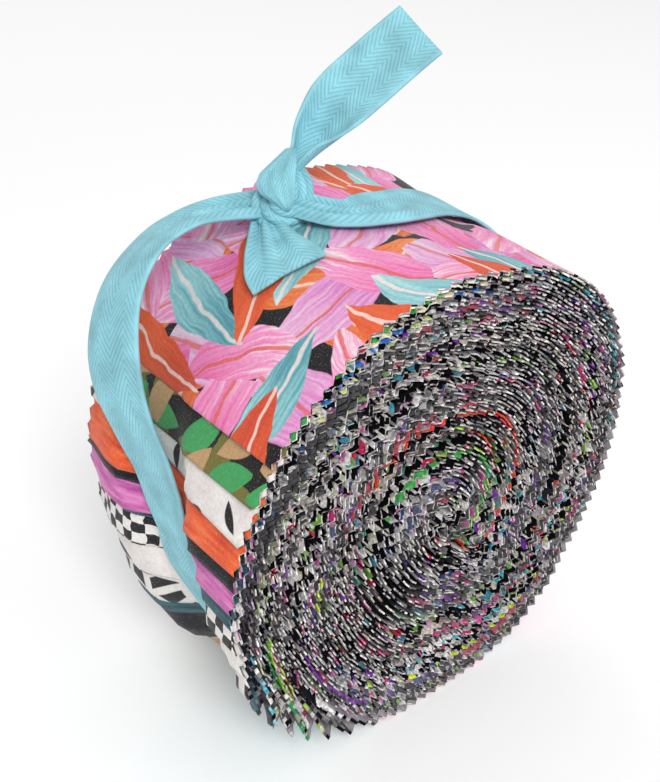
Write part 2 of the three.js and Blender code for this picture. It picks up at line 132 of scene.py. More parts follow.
# Inks of the prints that only show as edges: name, inks and how much of each
EDGE_PRINTS = {
    "black_white": [("#060508", 10), ("#7d787c", 2), ("#d9d6d4", 5), ("#c23a78", 1)],
    "charcoal": [("#0a090d", 10), ("#2a2830", 5), ("#a8a3a6", 2), ("#3f86a0", 1), ("#7a36a0", 1)],
    "stone": [("#a09a9d", 6), ("#cbc6c4", 5), ("#121015", 6), ("#d884b8", 2)],
    "white": [("#dedad8", 7), ("#a9a3a6", 3), ("#0b0a0d", 6), ("#dd5fa6", 2)],
    "navy": [("#080b1c", 9), ("#3a4f84", 3), ("#b8b7bd", 4), ("#6a2fa0", 2)],
    "taupe": [("#a38f82", 4), ("#d6cabb", 5), ("#120e10", 8), ("#c8502e", 1)],
    "garden": [("#08090a", 9), ("#7fae52", 3), ("#c9c8b4", 3), ("#c8325c", 2), ("#4fa8b8", 1)],
}
CUT_WHITE = (0.60, 0.58, 0.57)
STRIP_PRINTS = [
    "white", "black_white", "garden", "charcoal", "stone", "black_white", "navy", "white",
    "black_white", "garden", "charcoal", "taupe",
]
# Stretches of single layers whose print has a bright ink there: the layer counted from the inside of
# the stack, the angles wound, the ink, and how much of the cloth it covers
BRIGHT_STRETCHES = table(("layer", "from", "to", "ink", "cover"), [
    (1, -445, -225, "#e8481c", 0.95),
    (8, -440, -215, "#e8502a", 0.85),
    (5, -420, -330, "#2f8f7a", 0.4),
    (21, -795, -560, "#52b25c", 0.85),
    (22, -760, -610, "#b4d264", 0.5),
    (19, -790, -640, "#b83a86", 0.45),
    (24, -640, -520, "#3f9a72", 0.5),
    (2, -420, -300, "#5fa06a", 0.35),
    (7, -400, -250, "#d8456a", 0.4),
    (4, -330, -250, "#a3cf5a", 0.35),
    (8, -60, 60, "#d8325a", 0.45),
    (12, -60, 40, "#9cc45c", 0.4),
    (15, -125, -20, "#bdd63c", 0.45),
    (14, -181, -168, "#c5de22", 1.0),
    (6, -155, -60, "#e0448c", 0.6),
    (20, -160, -115, "#7a2fa0", 0.9),
    (22, -5, 75, "#4fa8b8", 0.4),
    (23, 35, 140, "#f0e8dc", 0.7),
    (22, 75, 140, "#3fae52", 0.4),
    (21, 60, 140, "#ece0c8", 0.5),
    (20, 70, 130, "#3a78c8", 0.3),
    (18, 100, 135, "#c3d28a", 0.4),
    (15, 60, 110, "#b03c50", 0.35),
    (11, -300, -200, "#cc3450", 0.4),
    (17, -350, -260, "#d0587c", 0.4),
    (13, -420, -330, "#3f9ab0", 0.3),
    (10, -100, -20, "#5fb8c8", 0.3),
    (3, -200, -90, "#d8a0c8", 0.4),
    (18, -120, 10, "#c84a6c", 0.3),
    (15, 120, 202, "#171722", 0.9),
    (14, 120, 208, "#14151f", 1.0),
    (13, 120, 208, "#14151f", 1.0),
    (12, 190, 216, "#58b4cc", 0.75),
    (11, 170, 216, "#141419", 0.8),
    (10, 120, 216, "#a8b48c", 0.5),
    (9, 185, 222, "#a9a6ab", 0.5),
    (8, 190, 222, "#131318", 0.8),
    (7, 195, 229, "#2f8f5a", 0.8),
    (6, 190, 229, "#86bc46", 0.75),
    (5, 190, 229, "#e08ab0", 0.4),
    (4, 200, 235, "#b5cc50", 0.6),
    (3, 205, 243, "#131318", 0.85),
    (2, 200, 243, "#1b1b22", 0.7),
    (1, 215, 251, "#131318", 0.7),
])

# The tape: the middle's angle, its distance behind the front end, its lift off the roll and its width
TAPE_FROM_KNOT = {
    "angle": [101, 105, 111, 118, 124, 130, 136, 142, 148, 154, 160],
    "across": [49, 50, 50.8, 51.2, 51, 49.5, 47, 44, 41, 38, 35],
    "lift": [1.0, 2.0, 5.0, 9.0, 11.4, 12.8, 12.9, 11.4, 8.6, 5.2, 2.2],
    "width": [8, 9.5, 12.5, 15, 16, 16, 16, 16, 16, 16, 16],
    "tilt": [0, 3, 12, 20, 18, 13, 8, 3, 0, 0, 0],
}
TAPE_TO_KNOT = {
    "angle": [442, 447, 451, 454, 457.5, 460, 462],
    "across": [34.8, 34.2, 34.2, 35.5, 39.5, 43.5, 47],
    "lift": [0.3, 0.3, 0.3, 0.4, 1.2, 2.2, 2.8],
    "width": [15.5, 14, 11.5, 9, 7, 6.5, 6],
    "tilt": [0, 0, 0, 0, 0, 0, 0],
}
SHORT_END = {
    "angle": [103.5, 105.5, 108, 110, 111.5, 112.5],
    "across": [49.5, 45.5, 40.5, 36, 31.8, 28],
    "lift": [0.3, 0.3, 0.4, 0.4, 0.2, 0],
    "width": [5, 6, 9, 12.5, 15.5, 16],
    "tilt": [0, 0, 0, 0, 0, 0],
}
ON_ROLL = (166.5, 436.5)
LAY_GAP = 0.8
CAD_TAPE = 1.0
MEAN_RADIUS = 59.0
# The long free end, from the middle of the roll's front end: its line, the degrees that the tape bends
# through from edge to edge, how tightly it is gathered, and its turn about its own line
LONG_END = {
    "x": [-10.6, -8.2, -5.3, -2.1, 1.2, 5.0, 10.7, 16.4, 21.5],
    "y": [49.2, 48.6, 48.7, 48.9, 48.2, 47.3, 45.5, 43.7, 41.8],
    "z": [65.6, 68.4, 71.4, 74.4, 77.6, 81.4, 86.0, 90.4, 94.3],
    "trough": [300, 280, 250, 205, 140, 70, 34, 16, 6],
    "gather": [0.35, 0.42, 0.66, 0.94, 1, 1, 1, 1, 1],
    "turn": [12, 12, 14, 18, 20, 20, 18, 16, 14],
}
KNOT = {"x": -9.8, "y": 50.0, "z": 67.2}
KNOT_SIDE = Vector((0.79, -0.613, 0))
KNOT_UP = Vector((0.31, 0.4, 0.86)).normalized()
# The knot's front wrap, a gathered loop of tape: its middle and half its width at each height
KNOT_FRONT = {
    "up": [-8.8, -8.0, -6.6, -5.0, -2.6, 0.0, 2.6, 4.6, 5.6],
    "middle": [1.6, 1.4, 0.7, -0.3, -0.9, -0.4, 1.0, 1.9, 2.2],
    "half": [0.6, 1.2, 2.4, 3.6, 4.2, 3.8, 2.6, 1.6, 1.1],
    "out": [6.2, 6.0, 5.0, 3.7, 1.8, 0.5, 0, 0.1, 0.2],
}
KNOT_CENTRE = -1.6
KNOT_REACH = 7.2
KNOT_DEPTH = 4.6
# The wraps under it, as middles from the knot's centre to the right, upward and toward the viewer
KNOT_LOW = {
    "side": [0.2, -1.2, -2.3, -2.7, -2.0, -0.2, 2.0, 3.8, 4.0],
    "up": [-3.4, -4.4, -5.8, -7.4, -8.8, -9.9, -10.2, -9.0, -7.0],
    "out": [-1.6, 0.4, 2.4, 4.0, 5.0, 5.4, 4.8, 3.0, 0.6],
    "width": [4.4, 5.2, 6.0, 6.2, 5.8, 5.4, 4.8, 4.4, 4.4],
}
KNOT_BACK = {
    "side": [0.4, 2.4, 3.9, 4.7, 4.6, 3.6, 2.0],
    "up": [1.8, 1.0, -0.8, -3.4, -5.8, -7.6, -8.6],
    "out": [-2.2, -0.6, 0.8, 1.8, 2.4, 2.2, 1.0],
    "width": [4.0, 4.2, 4.4, 4.4, 4.4, 4.2, 4.0],
}

CAMERA_AT = Vector((-139.89, -166.74, 227.50)) * MM
CAMERA_RIGHT = Vector((0.790, -0.613, 0.0))
CAMERA_UP = Vector((0.351, 0.452, 0.820))
CAMERA_LENS = 52.2


def ink(code):
    """Turns an sRGB hex colour into the linear RGBA that shaders use."""
    parts = [int(code[i:i + 2], 16) / 255 for i in (1, 3, 5)]
    return tuple(c / 12.92 if c <= 0.04045 else ((c + 0.055) / 1.055) ** 2.4 for c in parts) + (1.0,)


def smooth(x):
    x = np.clip(x, 0, 1)
    return x * x * (3 - 2 * x)


def around(table, column, angle):
    """Reads a table that goes once round the roll, easing from row to row."""
    rows = np.array(table["angle"] + [table["angle"][0] + TURN], float)
    values = np.array(table[column] + [table[column][0]], float)
    at = np.mod(np.asarray(angle, float) - rows[0], TURN) + rows[0]
    before = np.clip(np.searchsorted(rows, at, side="right") - 1, 0, len(rows) - 2)
    share = smooth((at - rows[before]) / (rows[before + 1] - rows[before]))
    return values[before] + (values[before + 1] - values[before]) * share


def outline(angle):
    """The roll's radius, with the flat spot that it stands on."""
    down = -np.sin(np.radians(angle))
    radius = around(OUTLINE, "radius", angle)
    return np.where(down > 0.5, np.minimum(radius, AXIS_HEIGHT / np.maximum(down, 0.5)), radius)


def turn_share(wound):
    return np.interp(wound, TURN_EDGE["wound"], TURN_EDGE["share"])


def waist(angle, across):
    """How far the tape draws the surface in at a point of the rim."""
    offset = across - around(WAIST, "across", angle)
    edge = np.where(offset > 0, around(WAIST, "behind", angle), WAIST_EDGE)
    share = 1 - smooth((np.abs(offset) - WAIST_FLAT) / (edge - WAIST_FLAT))
    tuck = smooth((across - TUCK_START) / (STRIP_WIDTH - TUCK_START)) * around(WAIST, "tuck", angle)
    return around(WAIST, "depth", angle) * share + tuck


def ripple(seed, *coordinates):
    """Even, repeatable unevenness between -1 and 1 that has no seams: a few crossed waves."""
    rng = np.random.default_rng(seed)
    total = 0
    for _ in range(5):
        phase = rng.uniform(0, 2 * math.pi)
        wave = sum(c * rng.uniform(0.5, 1.6) * rng.choice([-1, 1]) for c in coordinates)
        total = total + np.sin(wave + phase)
    return total / 3.2


def layers_left(wound):
    """How many of the stack's layers still go on at this angle of the outer turn."""
    ends = [STRIP_ENDS[0]["end"] - BUNCH_BASE] + [bunch["end"] for bunch in STRIP_ENDS]
    left = [LAYERS] + [LAYERS - sum(b["layers"] for b in STRIP_ENDS[:i + 1]) for i in range(len(STRIP_ENDS))]
    return np.maximum(np.interp(wound, ends, left), 0.6)


def bunch_of(layer):
    """The bunch whose end this layer is in, and its place from the top of it."""
    from_top = LAYERS - layer
    for bunch in STRIP_ENDS:
        if from_top < bunch["layers"]:
            return bunch, from_top
        from_top -= bunch["layers"]
    return STRIP_ENDS[-1], 0


def layer_radius(wound, layer):
    """The distance of one layer, counted from the inside of the stack, from the roll's axis."""
    wound = np.asarray(wound, float)
    inner = outline(wound) * turn_share(wound - TURN)
    outer = outline(wound) * turn_share(wound)
    begun = smooth((wound - FOLD_EASE[0]) / (FOLD_EASE[1] - FOLD_EASE[0]))
    late = LATE_LAYERS / LAYERS * begun
    if layer > LATE_LAYERS:
        share = late + (1 - late) * (layer - LATE_LAYERS - 0.5) / (LAYERS - LATE_LAYERS)
    else:
        share = late * (layer - 0.5) / LATE_LAYERS
    share = np.where(wound > 100, (layer - 0.5) / layers_left(wound), share)
    bunch, _ = bunch_of(layer)
    along = np.clip((wound - bunch["end"] + LIFT_RUN) / LIFT_RUN, 0, 1)
    radius = inner + (outer - inner) * np.minimum(share, 1.03) + bunch["lift"] * along * along
    x, z = radius * np.cos(np.radians(wound)), radius * np.sin(np.radians(wound))
    uneven = 0.5 * ripple(11, x / 7, z / 7) + 0.16 * ripple(12, x / 2.6, z / 2.6)
    return radius + uneven * smooth((outline(wound) - radius) / 5) * smooth(radius / 6)


def on_floor(wound, radius):
    """Keeps a radius above the floor."""
    down = -np.sin(np.radians(wound))
    return np.where(down > 0.5, np.minimum(radius, AXIS_HEIGHT / np.maximum(down, 0.5)), radius)


def leg(layer, inner_end):
    """One leg of a folded strip as points, from its inner end to its outer end."""
    bunch, place = bunch_of(layer)
    wound = np.arange(inner_end, bunch["end"] - END_STAGGER * place, POINT_STEP)
    radius = layer_radius(wound, layer)
    turn = np.radians(wound)
    return np.stack([radius * np.cos(turn), radius * np.sin(turn), wound, np.full_like(wound, layer)], 1)


def folded_strip(outer_layer, inner_layer, fold):
    """A strip folded in half: in along one leg, round the fold, and out along the other."""
    first = leg(outer_layer, fold["wound"])[::-1]
    second = leg(inner_layer, fold["wound"])
    a, b = first[-1, :2], second[0, :2]
    turn = math.radians(fold["wound"])
    backward = np.array([math.sin(turn), -math.cos(turn)])
    middle, reach = (a + b) / 2, np.linalg.norm(a - b) / 2
    steps = np.linspace(0, math.pi, FOLD_POINTS)[1:-1]
    bend = middle + np.outer(np.cos(steps), (a - middle)) + np.outer(np.sin(steps),
                                                                     backward) * reach * fold["depth"]
    layer = np.where(steps < math.pi / 2, outer_layer, inner_layer)
    rows = np.column_stack([bend, np.full(len(steps), fold["wound"]), layer])
    return np.concatenate([first, rows, second])


def strips():
    """Every strip of the stack as (points, distance from the fold)."""
    pairs = []
    early = LAYERS - LATE_LAYERS
    for i in range(early // 2):
        pairs.append((LAYERS - i, LATE_LAYERS + 1 + i, INNER_FOLD))
    for i in range(LATE_LAYERS // 2):
        pairs.append((LATE_LAYERS - i, 1 + i, OUTER_FOLD))
    found = []
    for outer_layer, inner_layer, fold in pairs:
        points = folded_strip(outer_layer, inner_layer, fold)
        steps = np.hypot(*np.diff(points[:, :2], axis=0).T)
        length = np.concatenate([[0], np.cumsum(steps)])
        teeth = tooth_count(points, length)
        steps = np.arange(int(teeth[-1] * TOOTH_STEPS) + 1) / TOOTH_STEPS
        rows = np.column_stack([np.interp(steps, teeth, points[:, i]) for i in range(4)])
        rows[:, 3] = np.round(rows[:, 3])
        found.append((rows, np.interp(steps, teeth, length)))
    return found


def tooth_count(points, length):
    """Counts teeth along a strip, with a whole number in each sector of the roll. Strips that were cut
    as one stack have their teeth side by side, so neighbours stay nearly in step."""
    radius = np.hypot(points[:, 0], points[:, 1])
    sector = np.floor((points[:, 2] + 12 * np.sin(radius / 9)) / SECTOR)
    marks = np.concatenate([[0], np.flatnonzero(np.diff(sector)) + 1, [len(points) - 1]])
    teeth = np.maximum(np.round(np.diff(length[marks]) / TOOTH_PITCH), 1)
    return np.interp(length, length[marks], np.concatenate([[0], np.cumsum(teeth)]))


def mesh_object(name, corners, faces, materials, face_material=None, uv=None, colors=None, flat=False):
    """Makes a piece from millimetre corners, rides it on the roll, and stores its cloth coordinates."""
    mesh = bpy.data.meshes.new(name)
    mesh.from_pydata((np.asarray(corners) * MM).tolist(), [], [list(map(int, f)) for f in faces])
    for material in materials:
        mesh.materials.append(material)
    if face_material is not None:
        mesh.polygons.foreach_set("material_index", np.asarray(face_material, np.int32))
    mesh.polygons.foreach_set("use_smooth", np.full(len(mesh.polygons), not flat))
    loops = np.empty(len(mesh.loops), np.int32)
    mesh.loops.foreach_get("vertex_index", loops)
    if uv is not None:
        layer = mesh.uv_layers.new(name="cloth_mm")
        layer.data.foreach_set("uv", np.asarray(uv, np.float32)[loops].ravel())
    if colors is not None:
        layer = mesh.color_attributes.new("ink", "FLOAT_COLOR", "CORNER")
        counts = np.array([p.loop_total for p in mesh.polygons])
        layer.data.foreach_set("color", np.repeat(np.asarray(colors, np.float32), counts, axis=0).ravel())
    mesh.validate()
    mesh.update()
    piece = bpy.data.objects.new(name, mesh)
    bpy.context.scene.collection.objects.link(piece)
    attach(piece, "root")
    return piece


def add_node(tree, kind, settings, *inputs):
    """Adds a shader node of this kind with its settings. Each input is (socket, value or socket to link)."""
    node = tree.nodes.new("ShaderNode" + kind)
    for name, value in settings.items():
        setattr(node, name, value)
    for key, value in inputs:
        if isinstance(value, bpy.types.NodeSocket):
            tree.links.new(value, node.inputs[key])
        else:
            node.inputs[key].default_value = value
    return node


def new_material(name, roughness, sheen):
    """A matte cotton surface, ready for its colour and its height."""
    material = bpy.data.materials.new(name)
    material.use_nodes = True
    tree = material.node_tree
    shader = tree.nodes["Principled BSDF"]
    shader.inputs["Roughness"].default_value = roughness
    shader.inputs["IOR"].default_value = 1.53
    shader.inputs["Specular IOR Level"].default_value = 0.25
    shader.inputs["Sheen Weight"].default_value = sheen
    shader.inputs["Sheen Roughness"].default_value = 0.5
    return material, tree, shader


def weave_height(tree, place, pitch):
    """Plain weave as crossed waves. Real threads are 0.3 mm apart, and are drawn a little coarser."""
    apart = add_node(tree, "SeparateXYZ", {}, (0, place))
    waves = []
    for axis in (0, 1):
        scaled = add_node(tree, "Math", {"operation": "MULTIPLY"},
                          (0, apart.outputs[axis]), (1, 2 * math.pi / pitch))
        waves.append(add_node(tree, "Math", {"operation": "SINE"}, (0, scaled.outputs[0])))
    return add_node(tree, "Math", {"operation": "MULTIPLY"},
                    (0, waves[0].outputs[0]), (1, waves[1].outputs[0])).outputs[0]


def finish_print(tree, shader, place, color):
    """Puts a print's colour on woven cotton: threads take the ink unevenly, the weave carries painted shade
    in its hollows and painted light on its crests, and the threads stand up a little.
    """
    weave = weave_height(tree, place, 0.55)
    fine = add_node(tree, "TexNoise", {}, ("Vector", place), ("Scale", 1.1), ("Detail", 3.0))
    worn = add_node(tree, "MapRange", {}, (0, fine.outputs["Fac"]), (1, 0.3), (2, 0.7), (3, 0.9), (4, 1.08))
    # painted shade and light: following the bump's height, the weave's hollows are darkened and its crests
    # lightened in the colour
    lit = add_node(tree, "MapRange", {}, (0, weave), (1, -1.0), (2, 1.0), (3, 0.93), (4, 1.05))
    shade = add_node(tree, "Math", {"operation": "MULTIPLY"}, (0, worn.outputs[0]), (1, lit.outputs[0]))
    tinted = add_node(tree, "Mix", {"data_type": "RGBA", "blend_type": "MULTIPLY"},
                      (0, 1.0), (6, color), (7, shade.outputs[0]))
    bare = add_node(tree, "TexNoise", {}, ("Vector", place), ("Scale", 3.1), ("Detail", 1.0))
    fleck = add_node(tree, "MapRange", {}, (0, bare.outputs["Fac"]), (1, 0.64), (2, 0.74), (3, 0.0), (4, 0.3))
    tree.links.new(over(tree, fleck.outputs[0], tinted.outputs[2], ink("#d9d4d0")),
                   shader.inputs["Base Color"])
    bump = add_node(tree, "Bump", {}, ("Strength", 0.25), ("Distance", 0.0001), ("Height", weave))
    tree.links.new(bump.outputs[0], shader.inputs["Normal"])


def cloth_place(tree, offset=(0, 0, 0)):
    """The cloth's own coordinates in millimetres: along the strip, and across it."""
    uv = add_node(tree, "UVMap", {"uv_map": "cloth_mm"})
    moved = add_node(tree, "VectorMath", {"operation": "ADD"}, (0, uv.outputs[0]), (1, offset))
    return moved.outputs[0]


def leaf_layer(tree, place, spacing, reach, breadth, seed):
    """Pointed leaves, one in each cell of a loose grid: (inside, along, across, luck) sockets."""
    shifted = add_node(tree, "VectorMath", {"operation": "ADD"}, (0, place),
                       (1, (seed * 17.3, seed * 9.1, 0)))
    cells = add_node(tree, "TexVoronoi", {"voronoi_dimensions": "2D"},
                     ("Vector", shifted.outputs[0]), ("Scale", 1 / spacing), ("Randomness", 0.7))
    scaled = add_node(tree, "VectorMath", {"operation": "SUBTRACT"},
                      (0, shifted.outputs[0]), (1, cells.outputs["Position"]))
    luck = add_node(tree, "SeparateColor", {}, (0, cells.outputs["Color"]))
    angle = add_node(tree, "Math", {"operation": "MULTIPLY"}, (0, luck.outputs[0]), (1, 6.283))
    turned = add_node(tree, "VectorRotate", {"rotation_type": "Z_AXIS"},
                      ("Vector", scaled.outputs[0]), ("Angle", angle.outputs[0]))
    apart = add_node(tree, "SeparateXYZ", {}, (0, turned.outputs[0]))
    along = add_node(tree, "Math", {"operation": "DIVIDE"}, (0, apart.outputs[0]), (1, reach))
    squared = add_node(tree, "Math", {"operation": "MULTIPLY"}, (0, along.outputs[0]), (1, along.outputs[0]))
    bent = add_node(tree, "Math", {"operation": "MULTIPLY_ADD"},
                    (0, squared.outputs[0]), (1, breadth * 0.5), (2, apart.outputs[1]))
    aside = add_node(tree, "Math", {"operation": "ABSOLUTE"}, (0, bent.outputs[0]))
    width = add_node(tree, "Math", {"operation": "MULTIPLY_ADD"},
                     (0, squared.outputs[0]), (1, -breadth), (2, breadth))
    depth = add_node(tree, "Math", {"operation": "SUBTRACT"}, (0, width.outputs[0]), (1, aside.outputs[0]))
    inside = add_node(tree, "MapRange", {}, (0, depth.outputs[0]), (1, 0.0), (2, 0.25))
    return inside.outputs[0], along.outputs[0], bent.outputs[0], luck


def over(tree, amount, below, above):
    """Lays one colour over another."""
    mix = add_node(tree, "Mix", {"data_type": "RGBA"}, (0, amount), (6, below), (7, above))
    return mix.outputs[2]


def ramp(tree, value, stops, easing="LINEAR"):
    """A colour ramp through (place, hex colour) stops."""
    node = add_node(tree, "ValToRGB", {}, (0, value))
    node.color_ramp.interpolation = easing
    elements = node.color_ramp.elements
    elements[0].position, elements[0].color = stops[0][0], ink(stops[0][1])
    elements[1].position, elements[1].color = stops[-1][0], ink(stops[-1][1])
    for place, code in stops[1:-1]:
        elements.new(place).color = ink(code)
    return node.outputs[0]


def petals_print():
    """Screen-printed quilting cotton: big loose petals in pinks, orange and teal on near-black."""
    material, tree, shader = new_material("Screen-printed quilting cotton, petals", 0.82, 0.15)
    place = cloth_place(tree)
    wobble = add_node(tree, "TexNoise", {}, ("Vector", place), ("Scale", 0.09), ("Detail", 2.0))
    spread = add_node(tree, "VectorMath", {"operation": "MULTIPLY_ADD"},
                      (0, wobble.outputs["Color"]), (1, (5, 5, 0)), (2, place)).outputs[0]
    streaks = add_node(tree, "TexNoise", {}, ("Vector", spread), ("Scale", 0.8), ("Detail", 4.0))
    color = ramp(tree, streaks.outputs["Fac"], [(0.35, "#0c0a0d"), (0.6, "#151116")])
    families = [
        (19, 15.0, 6.2, 1, [(0.0, "#c9562f"), (0.45, "#dd6a34"), (1.0, "#e88a4f")]),
        (24, 19.0, 7.6, 2, [(0.0, "#dcc9d3"), (0.3, "#e0a7cd"), (0.65, "#d584bf"), (1.0, "#c06fb0")]),
        (22, 17.5, 6.6, 3, [(0.0, "#ecd9dc"), (0.35, "#e993bf"), (0.7, "#e77aae"), (1.0, "#d8609c")]),
        (33, 17.0, 5.4, 4, [(0.0, "#a9d3d3"), (0.5, "#7fb9bf"), (1.0, "#4f8f9c")]),
        (38, 18.0, 6.0, 5, [(0.0, "#de6236"), (0.5, "#d9552c"), (1.0, "#c8452a")]),
    ]
    for spacing, reach, breadth, seed, stops in families:
        inside, along, aside, luck = leaf_layer(tree, spread, spacing, reach, breadth, seed)
        drawn = add_node(tree, "Math", {"operation": "MULTIPLY_ADD"},
                         (0, along), (1, 0.4), (2, 0.5))
        lengthwise = add_node(tree, "CombineXYZ", {}, (0, along), (1, aside), (2, luck.outputs[1]))
        strokes = add_node(tree, "TexNoise", {}, ("Vector", lengthwise.outputs[0]), ("Scale", 1.3),
                           ("Detail", 3.0))
        brushed = add_node(tree, "Math", {"operation": "MULTIPLY_ADD"},
                           (0, strokes.outputs["Fac"]), (1, 1.7), (2, -0.85))
        tone = add_node(tree, "Math", {"operation": "ADD"}, (0, drawn.outputs[0]), (1, brushed.outputs[0]))
        petal = ramp(tree, tone.outputs[0], stops)
        rib = add_node(tree, "Math", {"operation": "ABSOLUTE"}, (0, aside))
        vein = add_node(tree, "MapRange", {}, (0, rib.outputs[0]), (1, 0.35), (2, 0.55), (3, 0.75), (4, 0.0))
        petal = over(tree, vein.outputs[0], petal, ink("#d4552f" if seed in (2, 3) else "#f0d9d2"))
        color = over(tree, inside, color, petal)
    finish_print(tree, shader, place, color)
    return material


def foliage_print():
    """Screen-printed quilting cotton: small blunt leaves in greens and tan on black."""
    material, tree, shader = new_material("Screen-printed quilting cotton, foliage", 0.85, 0.15)
    place = cloth_place(tree, (31, 12, 0))
    color = ramp(tree, cloth_place(tree), [(0.0, "#14130f"), (1.0, "#14130f")])
    for spacing, reach, breadth, seed, code in ((11, 8, 3.6, 6, "#6f6a2f"), (12, 8, 3.4, 7, "#3f9a58"),
                                                (13, 8, 3.2, 8, "#b8946a")):
        inside, _, _, _ = leaf_layer(tree, place, spacing, reach, breadth, seed)
        color = over(tree, inside, color, ink(code))
    finish_print(tree, shader, place, color)
    return material


def seeds_print():
    """Screen-printed quilting cotton: slim black seed shapes on greyish white."""
    material, tree, shader = new_material("Screen-printed quilting cotton, seeds", 0.85, 0.15)
    place = cloth_place(tree, (7, 3, 0))
    cloud = add_node(tree, "TexNoise", {}, ("Vector", place), ("Scale", 0.12), ("Detail", 2.0))
    color = ramp(tree, cloud.outputs["Fac"], [(0.35, "#d9d1cf"), (0.65, "#e9e4df")])
    inside, _, _, _ = leaf_layer(tree, place, 9.5, 3.6, 1.3, 9)
    color = over(tree, inside, color, ink("#121114"))
    finish_print(tree, shader, place, color)
    return material


def pebbles_print():
    """Screen-printed quilting cotton: uneven black cells with white lines between them."""
    material, tree, shader = new_material("Screen-printed quilting cotton, pebbles", 0.85, 0.15)
    place = cloth_place(tree, (3, 40, 0))
    cells = add_node(tree, "TexVoronoi", {"voronoi_dimensions": "2D", "feature": "DISTANCE_TO_EDGE"},
                     ("Vector", place), ("Scale", 0.16))
    color = ramp(tree, cells.outputs["Distance"], [(0.16, "#dedad6"), (0.2, "#121216")], "LINEAR")
    finish_print(tree, shader, place, color)
    return material


def checks_print():
    """Screen-printed quilting cotton: small uneven black and white checks."""
    material, tree, shader = new_material("Screen-printed quilting cotton, checks", 0.85, 0.15)
    place = cloth_place(tree, (1.5, 0, 0))
    wobble = add_node(tree, "TexNoise", {}, ("Vector", place), ("Scale", 0.3), ("Detail", 1.0))
    spread = add_node(tree, "VectorMath", {"operation": "MULTIPLY_ADD"},
                      (0, wobble.outputs["Color"]), (1, (1.8, 1.8, 0)), (2, place)).outputs[0]
    checks = add_node(tree, "TexChecker", {}, ("Vector", spread), ("Color1", ink("#e3dfdb")),
                      ("Color2", ink("#111014")), ("Scale", 0.34))
    finish_print(tree, shader, place, checks.outputs["Color"])
    return material


def brushed_print(name, codes, seed):
    """Screen-printed quilting cotton: one ink brushed on in streaks across the strip."""
    material, tree, shader = new_material(f"Screen-printed quilting cotton, {name}", 0.85, 0.15)
    place = cloth_place(tree, (seed * 3.7, seed, 0))
    long = add_node(tree, "VectorMath", {"operation": "MULTIPLY"}, (0, place), (1, (1.0, 0.14, 1)))
    streaks = add_node(tree, "TexNoise", {}, ("Vector", long.outputs[0]), ("Scale", 0.7), ("Detail", 3.0))
    stops = [(0.3 + 0.4 * i / (len(codes) - 1), code) for i, code in enumerate(codes)]
    finish_print(tree, shader, place, ramp(tree, streaks.outputs["Fac"], stops))
    return material


def edge_cotton():
    """Pinked quilting cotton seen on its cut edge: inks show broken by pale cut threads."""
    made = bpy.data.materials.get("Pinked quilting cotton, cut edge")
    if made:
        return made
    material, tree, shader = new_material("Pinked quilting cotton, cut edge", 0.95, 0.0)
    shader.inputs["Specular IOR Level"].default_value = 0.1
    tint = add_node(tree, "VertexColor", {"layer_name": "ink"})
    spot = add_node(tree, "TexCoord", {})
    fine = add_node(tree, "TexNoise", {}, ("Vector", spot.outputs["Object"]), ("Scale", 1400.0),
                    ("Detail", 2.0))
    fray = add_node(tree, "MapRange", {}, (0, fine.outputs["Fac"]), (1, 0.35), (2, 0.65), (3, 0.65), (4, 1.3))
    color = add_node(tree, "Mix", {"data_type": "RGBA", "blend_type": "MULTIPLY"},
                     (0, 1.0), (6, tint.outputs[0]), (7, fray.outputs[0]))
    tree.links.new(color.outputs[2], shader.inputs["Base Color"])
    bump = add_node(tree, "Bump", {}, ("Strength", 0.5), ("Distance", 0.0001),
                    ("Height", fine.outputs["Fac"]))
    tree.links.new(bump.outputs[0], shader.inputs["Normal"])
    return material


def cotton_back():
    """The unprinted side of quilting cotton: off-white, with the print's shadow coming through."""
    material, tree, shader = new_material("Quilting cotton, wrong side", 0.9, 0.2)
    place = cloth_place(tree)
    cloud = add_node(tree, "TexNoise", {}, ("Vector", place), ("Scale", 0.2), ("Detail", 2.0))
    finish_print(tree, shader, place, ramp(tree, cloud.outputs["Fac"], [(0.3, "#59555b"), (0.7, "#a19b9d")]))
    return material


